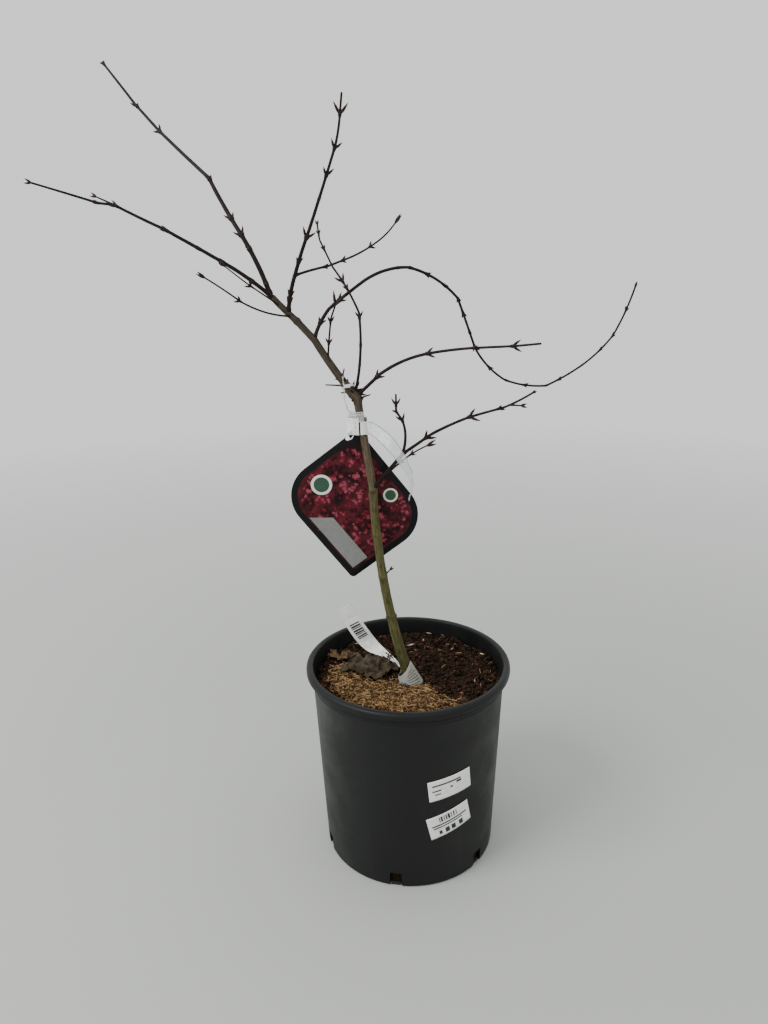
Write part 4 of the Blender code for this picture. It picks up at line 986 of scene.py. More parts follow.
def rounded(corners, steps=7):
    """A profile from (radius, height, round) corners, each round one turned into a short arc."""
    profile = []
    for index, (x, z, size) in enumerate(corners):
        corner = Vector((x, z))
        if size == 0.0:
            profile.append((x, z))
            continue
        back = (Vector(corners[index - 1][:2]) - corner).normalized()
        ahead = (Vector(corners[index + 1][:2]) - corner).normalized()
        half = back.angle(ahead) / 2.0
        centre = corner + (back + ahead).normalized() * (size / math.sin(half))
        first = corner + back * (size / math.tan(half)) - centre
        turn = first.angle_signed(corner + ahead * (size / math.tan(half)) - centre)
        for step in range(steps + 1):
            profile.append(tuple(centre + Matrix.Rotation(-turn * step / steps, 2) @ first))
    return profile


def turned(profile, steps):
    """Spin a (radius, height) profile round the Z axis; it closes on itself or on the axis."""
    bm = bmesh.new()
    verts = [bm.verts.new((radius * MM, 0.0, height * MM)) for radius, height in profile]
    edges = [bm.edges.new(pair) for pair in zip(verts, verts[1:])]
    bmesh.ops.spin(bm, geom=verts + edges, cent=(0, 0, 0), axis=(0, 0, 1), dvec=(0, 0, 0),
                   angle=math.tau, steps=steps, use_merge=True, use_duplicate=False)
    bmesh.ops.remove_doubles(bm, verts=bm.verts, dist=0.01 * MM)
    return bm


def near_notch(bm):
    """The faces beside the notch at +X, with their edges and corners."""
    faces = [face for face in bm.faces if face.calc_center_median().x > WALL_SEARCH_FROM * MM
             and abs(face.calc_center_median().y) < 2 * NOTCH_WIDTH * MM
             and face.calc_center_median().z < POT_HEIGHT * MM / 2]
    return faces + list({edge for face in faces for edge in face.edges}) + list(
        {vert for face in faces for vert in face.verts})


def cut_notch(bm, bearing):
    """Cut one drainage notch through the wall's foot and the floor's edge, and line its cut."""
    inner = FOOT_RADIUS - NOTCH_DEPTH
    turn = Matrix.Rotation(math.radians(bearing), 3, "Z")
    bmesh.ops.rotate(bm, verts=bm.verts, cent=(0, 0, 0), matrix=turn.inverted())
    half = NOTCH_WIDTH / 2.0
    for point, way in (((0, half, 0), (0, 1, 0)), ((0, -half, 0), (0, -1, 0)),
                       ((0, 0, NOTCH_HEIGHT), (0, 0, 1)), ((inner, 0, 0), (1, 0, 0))):
        bmesh.ops.bisect_plane(bm, geom=near_notch(bm), dist=0.001 * MM, plane_co=Vector(point) * MM,
                               plane_no=way)
    gone = [face for face in bm.faces if abs(face.calc_center_median().y) < half * MM
            and face.calc_center_median().z < NOTCH_HEIGHT * MM
            and face.calc_center_median().x > inner * MM]
    bmesh.ops.delete(bm, geom=gone, context="FACES")
    bmesh.ops.bridge_loops(bm, edges=[edge for edge in bm.edges if edge.is_boundary])
    bmesh.ops.rotate(bm, verts=bm.verts, cent=(0, 0, 0), matrix=turn)


def pot_mesh():
    """The wall, its ridge, mould lines and rolled lip, and the notches in the foot."""
    under_lip = POT_HEIGHT - LIP_HEIGHT
    ridge_low = under_lip - RIDGE_HEIGHT
    lines = []
    for drop in MOULD_LINES:
        crest = ridge_low - RIDGE - drop
        lines += [(wall_radius(crest - 2 * MOULD_LINE), crest - 2 * MOULD_LINE, 0.0),
                  (wall_radius(crest) + MOULD_LINE, crest, 0.0),
                  (wall_radius(crest + 2 * MOULD_LINE), crest + 2 * MOULD_LINE, 0.0)]
    bm = turned(rounded([
        (0.0, 0.0, 0.0),
        (FOOT_RADIUS, 0.0, FOOT_ROUND),
        *lines,
        (wall_radius(ridge_low) - RIDGE_FOOT_SINK, ridge_low - RIDGE, 0.0),
        (wall_radius(ridge_low) + RIDGE, ridge_low, RIDGE_ROUND),
        (wall_radius(under_lip) + RIDGE, under_lip, RIDGE_ROUND),
        (RIM_RADIUS, under_lip, LIP_UNDER_ROUND),
        (RIM_RADIUS, POT_HEIGHT, LIP_TOP_ROUND),
        (RIM_INNER_RADIUS, POT_HEIGHT, LIP_INNER_ROUND),
        (wall_radius(under_lip) - WALL, under_lip, 0.0),
        (FOOT_RADIUS - WALL, FLOOR, FOOT_ROUND),
        (0.0, FLOOR, 0.0),
    ]), POT_STEPS)
    for index in range(NOTCHES):
        cut_notch(bm, FIRST_NOTCH_BEARING + index * 360.0 / NOTCHES)
    return mesh_from(bm, "pot")


def level_share(distance, level_radius):
    """0 inside the level spot, 1 well outside it."""
    return min(1.0, max(0.0, (distance - level_radius) / LEVEL_EDGE))


def soil_rise(x, y):
    """Bumps of the bark surface, level where the trunk and the dead leaf rest on it."""
    from_trunk = math.hypot(x - TRUNK_FOOT[0], y - TRUNK_FOOT[1])
    from_leaf = math.hypot((x - LEAF_CENTRE[0]) * LEAF_WIDTH / LEAF_LENGTH, y - LEAF_CENTRE[1])
    bump = noise.noise(Vector((x / SOIL_BUMP_WIDTH, y / SOIL_BUMP_WIDTH, SEED)))
    level = level_share(from_trunk, LEVEL_ROUND_TRUNK) * level_share(from_leaf, LEVEL_ROUND_LEAF)
    return SOIL_BUMP * level * bump


def soil_mesh():
    """The fine crumbs that fill the pot, a little below the chips that lie on them."""
    inner = wall_radius(SOIL_LEVEL) - WALL - SOIL_GAP
    foot = wall_radius(FLOOR) - WALL - SOIL_GAP - FOOT_ROUND
    rings = [inner * (SOIL_RINGS - index) / SOIL_RINGS for index in range(SOIL_RINGS)]
    profile = [(0.0, FLOOR + SOIL_GAP), (foot, FLOOR + SOIL_GAP)]
    profile += [(radius, SOIL_LEVEL) for radius in rings] + [(0.0, SOIL_LEVEL)]
    bm = turned(profile, SOIL_SIDES)
    cover = bm.verts.layers.float.new("coir")
    for vert in bm.verts:
        x, y, z = vert.co / MM
        cell = x / COIR_EDGE_CELL, y / COIR_EDGE_CELL
        east, north = (COIR_EDGE_RAGGED * noise.noise(Vector((*cell, layer))) for layer in (8, 30))
        vert[cover] = within(COIR_PATCH, x + east, y + north)
        if z > SOIL_LEVEL / 2.0:
            fine = noise.noise(Vector((x / CRUMB_FINE, y / CRUMB_FINE, 0)))
            coarse = noise.noise(Vector((x / CRUMB_COARSE, y / CRUMB_COARSE, 3)))
            vert.co.z += (soil_rise(x, y) - SOIL_SINK + CRUMB_HEIGHT * (fine + coarse)) * MM
    return mesh_from(bm, "soil")


def chip_shape(luck):
    """One rough chip about one unit long: a ball pressed flat and dented."""
    bm = bmesh.new()
    bmesh.ops.create_uvsphere(bm, u_segments=6, v_segments=4, radius=0.5)
    bmesh.ops.scale(bm, verts=bm.verts, vec=(1.0, luck.uniform(*CHIP_WIDTHS), luck.uniform(*CHIP_HEIGHTS)))
    spot = Vector((luck.uniform(0, 50), luck.uniform(0, 50), luck.uniform(0, 50)))
    for vert in bm.verts:
        vert.co *= 1.0 + CHIP_DENT * noise.noise(vert.co * CHIP_DENTS + spot)
    return mesh_from(bm, "chip")


def fibre_shape(luck):
    """One coir fibre about one unit long: a thin three-sided strand, bent and pointed."""
    bm = sleeve(FIBRE_SIDES, FIBRE_STEPS)
    bend = luck.uniform(-FIBRE_BEND, FIBRE_BEND)
    lift = luck.uniform(0.0, FIBRE_LIFT)
    sway = luck.uniform(-FIBRE_SWAY, FIBRE_SWAY)
    for vert in bm.verts:
        share = vert.co.z / FIBRE_STEPS
        thin = FIBRE_THICKNESS * math.sin(math.pi * (0.08 + 0.84 * share)) ** 0.5
        curve = bend * (share * share - share) + sway * share * (share - 0.5) * (share - 1.0) * 3.0
        vert.co = Vector((share - 0.5, curve + vert.co.x * thin,
                          lift * 4.0 * share * (1.0 - share) + vert.co.y * thin))
    bmesh.ops.holes_fill(bm, edges=bm.edges[:], sides=0)
    return mesh_from(bm, "fibre")


def sliver_shape(luck):
    """One split of wood: a thin flat strip with torn ends."""
    bm = bmesh.new()
    bmesh.ops.create_cube(bm, size=1.0)
    bmesh.ops.subdivide_edges(bm, edges=bm.edges[:], cuts=2, use_grid_fill=True)
    bmesh.ops.scale(bm, verts=bm.verts, vec=(1.0, luck.uniform(*SLIVER_WIDTHS), SLIVER_THICKNESS))
    for vert in bm.verts:
        vert.co.y *= 1.0 - 0.8 * abs(2.0 * vert.co.x) ** 3
        vert.co.z += 0.06 * math.sin(vert.co.x * 3.0 + vert.co.y * 9.0)
    return mesh_from(bm, "sliver")


def on_soil(luck, x, y, size, tilt, lift):
    """A matrix that lays a shape of one unit on the soil, turned and tipped at random."""
    turn = Matrix.Rotation(luck.uniform(0.0, math.tau), 4, "Z")
    tip = Matrix.Rotation(math.radians(luck.uniform(-tilt, tilt)), 4, "Y")
    roll = Matrix.Rotation(math.radians(luck.uniform(-tilt, tilt)), 4, "X")
    place = Matrix.Translation(Vector((x, y, SOIL_LEVEL + soil_rise(x, y) + lift)) * MM)
    return place @ turn @ tip @ roll @ Matrix.Scale(size * MM, 4)


def within(outline, x, y):
    """Whether a point lies inside an outline."""
    inside = False
    for (ax, ay), (bx, by) in zip(outline, outline[1:] + outline[:1]):
        if (ay > y) != (by > y) and x < ax + (bx - ax) * (y - ay) / (by - ay):
            inside = not inside
    return inside


def in_pot(luck, margin):
    """A random place on the soil, even over its area."""
    reach = (wall_radius(SOIL_LEVEL) - WALL - margin) * math.sqrt(luck.random())
    turn = luck.uniform(0.0, math.tau)
    return reach * math.cos(turn), reach * math.sin(turn)


def clear_of_stem(x, y, margin):
    """Whether a place on the soil is further than a margin from the trunk's middle."""
    return math.hypot(x - TRUNK_FOOT[0], y - TRUNK_FOOT[1]) > margin


def chip_places(luck, potting):
    """Where the dark and the red chips lie: fewer and lower under the coir, none in the cuff."""
    places = {"dark": [], "red": []}
    for _ in range(potting.chips):
        x, y = in_pot(luck, CHIP_MARGIN)
        blur_x, blur_y = luck.gauss(0, CHIP_BLUR), luck.gauss(0, CHIP_BLUR)
        under_coir = within(COIR_PATCH, x + blur_x, y + blur_y)
        size = potting.chip_size / MM * luck.choice(CHIP_SIZES)
        lift = luck.uniform(*CHIP_LIFT) - (BURIED_SINK if under_coir else 0.0)
        if not clear_of_stem(x, y, CUFF_FOOT_RADIUS + CHIP_FROM_STEM * size):
            continue
        if under_coir and luck.random() < BURIED_SHARE:
            continue
        kind = "red" if luck.random() < RED_SHARE else "dark"
        places[kind].append((luck.randrange(CHIP_SHAPES), on_soil(luck, x, y, size, CHIP_TILT, lift)))
    return places


def fibre_places(luck, potting):
    """Where the fibres lie: most on the coir patch, in a tangle, and a few anywhere."""
    places = {"light": [], "dark": []}
    for _ in range(potting.fibres * FIBRE_TRIES):
        if len(places["light"]) + len(places["dark"]) >= potting.fibres:
            break
        x, y = in_pot(luck, FIBRE_MARGIN)
        near_x, near_y = x + luck.gauss(0, FIBRE_BLUR), y + luck.gauss(0, FIBRE_BLUR)
        thin = COIR_THIN_SHARE if within(COIR_THIN, near_x, near_y) else COIR_ELSEWHERE
        share = 1.0 if within(COIR_PATCH, near_x, near_y) else thin
        if not clear_of_stem(x, y, CUFF_FOOT_RADIUS + FIBRE_FROM_STEM) or luck.random() > share:
            continue
        size = potting.fibre_length / MM * luck.uniform(*FIBRE_SIZES)
        kind = "light" if luck.random() < LIGHT_SHARE else "dark"
        matrix = on_soil(luck, x, y, size, FIBRE_TILT, luck.uniform(*FIBRE_RISE))
        places[kind].append((luck.randrange(CHIP_SHAPES), matrix))
    return places


def leaf_reach(turn):
    """How far a palmate leaf of five lobes reaches at a turn from its middle, as a share."""
    return 0.60 + 0.40 * abs(math.cos(turn * 2.5)) ** 1.3


def crumpled_leaf(name, centre, size, turn, curl, fold, lift, seed):
    """A palmate leaf cut from a grid, folded along sharp ridges and curled at its edge."""
    bm = bmesh.new()
    bmesh.ops.create_grid(bm, x_segments=LEAF_CELLS, y_segments=LEAF_CELLS, size=1.0)
    gone = []
    for face in bm.faces:
        spot = face.calc_center_median()
        ragged = LEAF_RAGGED * noise.noise(spot * LEAF_TEETH + Vector((seed, 0, 0)))
        if spot.length > leaf_reach(math.atan2(spot.y, spot.x)) + ragged:
            gone.append(face)
    bmesh.ops.delete(bm, geom=gone, context="FACES")
    bmesh.ops.smooth_vert(bm, verts=[vert for vert in bm.verts if vert.is_boundary], factor=0.5,
                          use_axis_x=True, use_axis_y=True, use_axis_z=False)
    wide, close, fine = LEAF_FOLDS
    for vert in bm.verts:
        u, v = vert.co.xy
        reach = math.hypot(u, v)
        ridge = 1.0 - abs(noise.noise(Vector((u * wide, v * wide, seed)))) * LEAF_FOLD_WIDTH
        crease = 1.0 - abs(noise.noise(Vector((u * close, v * close, seed + 4)))) * LEAF_FOLD_WIDTH
        small = noise.noise(Vector((u * fine, v * fine, seed + 9)))
        height = lift + fold * (max(0.0, ridge) + 0.5 * max(0.0, crease) + 0.2 * small)
        height += curl * reach ** 3
        flat = Vector((u * size[0], v * size[1])) * 0.5
        flat.rotate(Matrix.Rotation(math.radians(turn), 2))
        height = max(LEAF_LEAST_LIFT, height)
        vert.co = Vector((centre[0] + flat.x, centre[1] + flat.y, SOIL_LEVEL + height)) * MM
    return mesh_from(bm, name, outward=False)


# ---------------------------------------------------------------- sheets, strips and prints
def sheet(name, surface, along, across):
    """A grid put on a surface: a function of a share along and a share across, in millimetres."""
    bm = bmesh.new()
    bmesh.ops.create_grid(bm, x_segments=along, y_segments=across, size=0.5)
    for vert in bm.verts:
        vert.co = surface(vert.co.x + 0.5, vert.co.y + 0.5) * MM
    return mesh_from(bm, name, outward=False)


def smooth_line(points, steps=16):
    """Points along one smooth curve through a few route points."""
    line = []
    ends = [2 * points[0] - points[1]] + points + [2 * points[-1] - points[-2]]
    for before, first, last, after in zip(ends, ends[1:], ends[2:], ends[3:]):
        for step in range(steps):
            t = step / steps
            line.append(0.5 * ((2 * first) + (last - before) * t
                               + (2 * before - 5 * first + 4 * last - after) * t * t
                               + (3 * first - before - 3 * last + after) * t ** 3))
    return line + [points[-1]]


def ribbon_surface(route, origin, crease, cup=0.0, pleat=0.0):
    """The surface of a strip along a route: creased, cupped at its edges, pleated at its start."""
    centres = smooth_line([Vector(point) for point, _, _ in route])
    sides = smooth_line([Vector(side) for _, side, _ in route])
    widths = smooth_line([Vector((width, 0, 0)) for _, _, width in route])

    def read(line, share):
        index = min(int(share * (len(line) - 1)), len(line) - 2)
        return line[index].lerp(line[index + 1], share * (len(line) - 1) - index)

    def surface(along, across, lift=0.0):
        side = read(sides, along).normalized()
        after, before = min(1.0, along + ROUTE_AHEAD), max(0.0, along - ROUTE_AHEAD)
        ahead = (read(centres, after) - read(centres, before)).normalized()
        tight = pleat * math.exp(-((along / PLEAT_REACH) ** 2))
        wave = crease * noise.noise(Vector((along * CREASES[0], across * CREASES[1], SEED)))
        wave += cup * (2.0 * across - 1.0) ** 2 + lift
        wave += PLEAT_DEPTH * tight * math.sin(across * PLEATS * math.pi + PLEAT_SLANT * along)
        wave += PLEAT_DEPTH * tight * noise.noise(
            Vector((along * PLEAT_CREASES[0], across * PLEAT_CREASES[1], SEED)))
        width = read(widths, along).x * (1.0 - PLEAT_NARROWING * tight) * (across - 0.5)
        return origin + read(centres, along) + side * width + ahead.cross(side).normalized() * wave

    return surface


def print_marks(name, surface, marks, lift, cells=PRINT_CELLS):
    """Printed bars laid just over a surface, each (x, y, width, height) in its own measure."""
    meshes = []
    for x, y, width, height in marks:
        def spot(along, across, x=x, y=y, width=width, height=height):
            return surface(x + (along - 0.5) * width, y + (across - 0.5) * height, lift)
        meshes.append(sheet(name, spot, cells, 1))
    return joined(name, meshes)


def tag_outline(border):
    """The tag's outline inside a border: two round corners, a sharp one, and one cut flat."""
    half_width, half_height = TAG_WIDTH / 2.0 - border, TAG_HEIGHT / 2.0 - border
    cut = TAG_TIP_CUT * math.sqrt(2.0) + border * 0.4
    outline = [(-half_width + cut, half_height), (-half_width, half_height - cut)]
    corners = [(-1, -1, TAG_ROUND_CORNER - border, 180.0), (1, -1, TAG_SHARP_CORNER, 270.0),
               (1, 1, TAG_ROUND_CORNER - border, 0.0)]
    for x, y, radius, start in corners:
        for step in range(CORNER_STEPS + 1):
            angle = math.radians(start + 90.0 * step / CORNER_STEPS)
            outline.append((x * (half_width - radius) + radius * math.cos(angle),
                            y * (half_height - radius) + radius * math.sin(angle)))
    return outline


def tag_place():
    """The matrix from the tag's own flat frame, in metres, to its place on the tie."""
    spin = Matrix.Rotation(math.radians(TAG_TURN), 4, "Z")
    lean = Matrix.Rotation(math.radians(90.0 + TAG_LEAN), 4, "X")
    return Matrix.Translation((TIE_MIDDLE + Vector(TAG_OFFSET)) * MM) @ lean @ spin


def flat_shape(outlines, height, thickness=0.0):
    """Filled outlines at a height over the tag's back, put in the tag's place."""
    bm = bmesh.new()
    for index, outline in enumerate(outlines):
        level = height + index * PRINT_STEP
        bm.faces.new([bm.verts.new((x * MM, y * MM, level * MM)) for x, y in outline])
    if thickness:
        made = bmesh.ops.extrude_face_region(bm, geom=bm.faces[:])["geom"]
        front = [item for item in made if isinstance(item, bmesh.types.BMVert)]
        bmesh.ops.translate(bm, verts=front, vec=(0, 0, thickness * MM))
        rim = [edge for edge in bm.edges if edge.verts[0].co.z == edge.verts[1].co.z]
        bmesh.ops.recalc_face_normals(bm, faces=bm.faces)
        bmesh.ops.bevel(bm, geom=rim, offset=CARD_EDGE * MM, segments=2, affect="EDGES", profile=0.5,
                        material=-1)
    bmesh.ops.transform(bm, verts=bm.verts, matrix=tag_place())
    return mesh_from(bm, "flat", outward=bool(thickness))


def disc_outline(x, y, radius, steps=40):
    """The outline of a printed disc."""
    return [(x + radius * math.cos(math.tau * step / steps), y + radius * math.sin(math.tau * step / steps))
            for step in range(steps)]


def leaf_outline(x, y, size, turn):
    """A small generic palmate leaf with narrow pointed lobes, the middle one the longest."""
    outline = []
    step = math.tau / TAG_LOBES
    for lobe in range(TAG_LOBES):
        long = size * (0.72 + 0.28 * math.cos(step * lobe))
        for share, reach in TAG_LOBE:
            angle = turn + step * (lobe + share)
            outline.append((x + long * reach * math.cos(angle), y + long * reach * math.sin(angle)))
    return outline


def tag_leaf_outlines(luck):
    """The printed leaves by tint, thick over the whole panel and gathered in drifts of one tint."""
    inside = tag_outline(TAG_BORDER + TAG_LEAF_MARGIN)
    leaves = {"dark": [], "crimson": [], "bright": []}
    while sum(len(group) for group in leaves.values()) < TAG_LEAVES:
        x, y = luck.uniform(-0.5, 0.5) * TAG_WIDTH, luck.uniform(-0.5, 0.5) * TAG_HEIGHT
        if not within(inside, x, y):
            continue
        drift = noise.noise(Vector((x / TAG_DRIFT, y / TAG_DRIFT, SEED))) + luck.gauss(0, TAG_DRIFT_BLUR)
        kind = "bright" if drift > BRIGHT_ABOVE else "dark" if drift < DARK_BELOW else "crimson"
        leaves[kind].append(leaf_outline(x, y, luck.uniform(*TAG_LEAF_SIZES), luck.uniform(0, math.tau)))
    return leaves


def sticker_surface(label):
    """A label's own flat frame, bent round the pot's wall, with a lift away from it."""
    bearing, height, _, _, turn = STICKERS[label]

    def surface(x, y, lift):
        flat = Vector((x, y))
        flat.rotate(Matrix.Rotation(math.radians(turn), 2))
        place = direction(bearing, 0.0) * (wall_radius(height + flat.y) + STICKER_LIFT + lift)
        place.rotate(Matrix.Rotation(flat.x / place.length, 3, "Z"))
        return Vector((place.x, place.y, height + flat.y))

    return surface


# ---------------------------------------------------------------- operators
class MAPLE_OT_pot(bpy.types.Operator):
    """Turn the nursery pot, with its ridge, its rolled lip and its drainage notches"""
    bl_idname = "maple.pot"
    bl_label = "Pot"

    def execute(self, context):
        potting = context.scene.maple_potting
        piece("nursery_pot", pot_mesh(), moulded_black_polypropylene(potting.pot), ["pot"],
              smooth=35.0)
        return {"FINISHED"}


class MAPLE_OT_soil(bpy.types.Operator):
    """Fill the pot, and lay the bark chips, the coir and the wood slivers"""
    bl_idname = "maple.soil"
    bl_label = "Potting bark"

    def execute(self, context):
        potting = context.scene.maple_potting
        luck = random.Random(SEED)
        bed = composted_bark("composted_bark_crumbs", potting.bed, potting.chip_dark, grit=2.2,
                             under_coir=potting.coir_dark)
        piece("potting_crumbs", soil_mesh(), bed, ["soil"], smooth=80.0)
        chips = chip_places(luck, potting)
        for kind, colour in (("dark", potting.chip_dark), ("red", potting.chip_red)):
            shapes = [chip_shape(luck) for _ in range(CHIP_SHAPES)]
            finish = composted_bark(f"bark_chip_{kind}", colour, shaded(colour, 1.9), grit=1.8)
            piece(f"bark_chips_{kind}", scatter("chips", shapes, chips[kind]), finish,
                  smooth=40.0)
        fibres = fibre_places(luck, potting)
        for kind, colour in (("light", potting.coir_light), ("dark", potting.coir_dark)):
            shapes = [fibre_shape(luck) for _ in range(CHIP_SHAPES)]
            piece(f"coir_{kind}", scatter("coir", shapes, fibres[kind]),
                  coir(f"coconut_fibre_{kind}", colour), smooth=80.0)
        slivers = [(index % 3, on_soil(luck, x, y, size, tilt=12, lift=2.2))
                   for index, (x, y, size) in enumerate(SLIVERS)]
        wood = composted_bark("split_wood", potting.sliver, shaded(potting.sliver, 1.3), grit=2.0)
        piece("wood_slivers", scatter("slivers", [sliver_shape(luck) for _ in range(3)], slivers), wood)
        return {"FINISHED"}


class MAPLE_OT_leaves(bpy.types.Operator):
    """Lay the big dead leaf and the small curled one on the bark"""
    bl_idname = "maple.leaves"
    bl_label = "Dead leaves"

    def execute(self, context):
        bark = context.scene.maple_bark
        size = (LEAF_LENGTH + BIG_LEAF_EDGE[0], LEAF_WIDTH + BIG_LEAF_EDGE[1])
        big = crumpled_leaf("big_leaf", LEAF_CENTRE, size, turn=-14, curl=-1.2, fold=8.0, lift=1.0, seed=5)
        obj = piece("dead_leaf_big", big, dry_maple_leaf("rotted_maple_leaf", bark.leaf),
                    ["dead_leaf"], smooth=70.0)
        thicken(obj, LEAF_SKIN)
        small = crumpled_leaf("small_leaf", SMALL_LEAF_CENTRE, SMALL_LEAF_SIZE, turn=-15, curl=6.0,
                              fold=3.0, lift=1.6, seed=21)
        obj = piece("dead_leaf_small", small, dry_maple_leaf("dry_maple_leaf", bark.leaf_small),
                    smooth=70.0)
        thicken(obj, SMALL_LEAF_SKIN)
        return {"FINISHED"}


class MAPLE_OT_trunk(bpy.types.Operator):
    """Grow the bark of the trunk, with its root flare, knots and graft union"""
    bl_idname = "maple.trunk"
    bl_label = "Trunk"

    def execute(self, context):
        trunk = LIMBS["trunk"]
        mesh = bark_skin(trunk, -3.0, trunk.length, TRUNK_SIDES, round_tip=True, wrinkle=trunk_wrinkle)
        piece("trunk_bark", mesh, young_maple_bark(context.scene.maple_bark), ["trunk"],
              smooth=80.0)
        return {"FINISHED"}


def plain_length(shoot):
    """How far a shoot is a plain bough; its twigs start there."""
    plain, stretches = SHOOTS[shoot][4:6]
    return sum(stretch[0] for stretch in stretches[:plain])


class MAPLE_OT_boughs(bpy.types.Operator):
    """Grow the bark of each bough"""
    bl_idname = "maple.boughs"
    bl_label = "Boughs"

    def execute(self, context):
        bark = maple_shoot_bark(context.scene.maple_bark)
        for shoot, (parent, distance, _, _, plain, stretches) in SHOOTS.items():
            if not plain:
                continue
            limb = LIMBS[shoot]
            whole = plain == len(stretches)
            mesh = bark_skin(limb, 0.0, plain_length(shoot), BOUGH_SIDES, round_tip=whole,
                             collar_at=LIMBS[parent].radius(distance))
            piece(f"bough_{shoot}_bark", mesh, bark, [f"bough_{shoot}"], smooth=80.0)
        return {"FINISHED"}


class MAPLE_OT_twigs(bpy.types.Operator):
    """Grow every twig on from the boughs, by the model's rule, joined in one piece"""
    bl_idname = "maple.twigs"
    bl_label = "Twigs"

    def execute(self, context):
        meshes = []
        masses = []
        for shoot, (parent, distance, _, _, plain, stretches) in SHOOTS.items():
            if plain == len(stretches):
                continue
            masses.append(f"twigs_{shoot}")
            limb = LIMBS[shoot]
            start = max(0.0, plain_length(shoot) - TWIG_START_INSIDE_BOUGH)
            collar = None if plain else LIMBS[parent].radius(distance)
            meshes.append(bark_skin(limb, start, limb.length, TWIG_SIDES, round_tip=True, collar_at=collar))
        for twig in side_limbs():
            meshes.append(bark_skin(twig, 0.0, twig.length, TWIG_SIDES, round_tip=True))
        bark = maple_shoot_bark(context.scene.maple_bark)
        piece("twig_stems", joined("twigs", meshes), bark, masses, smooth=80.0)
        return {"FINISHED"}


def side_limbs():
    """The short twigs that fork off a shoot, as limbs of their own."""
    limbs = []
    for shoot, distance, bearing, reach, rise in SIDE_TWIGS:
        thick = 2.0 * min(SIDE_TWIG_RADIUS, LIMBS[shoot].radius(distance))
        start = LIMBS[shoot].place(distance)[0]
        limbs.append(Limb(start, [(reach, rise, rise, bearing)], thick, 0.7 * thick))
    return limbs


def bud_shape(bark):
    """One closed bud one unit long along +Z: a pointed ovoid of scales, bent a little to -X."""
    wide = bark.bud_radius / bark.bud_length
    bm = sleeve(BUD_SIDES, len(BUD_RINGS) - 1)
    for vert in bm.verts:
        height, share = BUD_RINGS[round(vert.co.z)]
        vert.co = Vector((vert.co.x * wide * share - BUD_HOOK * height * height,
                          vert.co.y * wide * share * BUD_DEPTH, height))
    bmesh.ops.holes_fill(bm, edges=bm.edges[:], sides=0)
    return mesh_from(bm, "bud")


def bud_places(limb, distance, size, turn, spread, bark):
    """The matrices of two opposite buds at a place on a limb."""
    centre, heading = limb.place(distance)
    side = limb.bud_side(distance, turn)
    lean = math.radians(spread)
    long = bark.bud_length * size
    wide = bark.bud_length * (0.6 + 0.4 * size)
    out = max(0.0, limb.radius(distance) - BUD_INSIDE)
    places = []
    for sign in (1, -1):
        z = heading * math.cos(lean) + side * sign * math.sin(lean)
        x = side * sign * math.cos(lean) - heading * math.sin(lean)
        turned = Matrix((x, z.cross(x), z)).transposed().to_4x4()
        start = Matrix.Translation((centre + side * sign * out) * MM)
        places.append(start @ turned @ Matrix.Diagonal((wide, wide, long, 1.0)))
    return places


def shoot_buds(shoot, bark):
    """A pair of buds at each knot of a shoot, and for most shoots at its end."""
    limb = LIMBS[shoot]
    luck = random.Random(f"{SEED} {shoot}")
    places = []
    for distance, size, turn in limb.knots:
        places += bud_places(limb, distance, size * luck.uniform(*BUD_LUCK), turn, BUD_SPREAD, bark)
    if shoot in END_BUDS:
        places += bud_places(limb, limb.length - END_BUDS_INSIDE, *END_BUDS[shoot], bark)
    return places


class MAPLE_OT_buds(bpy.types.Operator):
    """Set the opposite buds on the twigs and the boughs"""
    bl_idname = "maple.buds"
    bl_label = "Buds"

    def execute(self, context):
        bark = context.scene.maple_bark
        places = [place for shoot in SHOOTS for place in shoot_buds(shoot, bark)]
        for twig in side_limbs():
            places += bud_places(twig, twig.length - END_BUDS_INSIDE, *SIDE_TWIG_BUDS, bark)
        for limb, distance, size, turn in DORMANT_BUDS:
            places += bud_places(LIMBS[limb], distance, size, turn, DORMANT_SPREAD, bark)
        mesh = scatter("buds", [bud_shape(bark)], [(0, place) for place in places])
        piece("winter_buds", mesh, maple_bud_scales(bark), smooth=38.0)
        return {"FINISHED"}


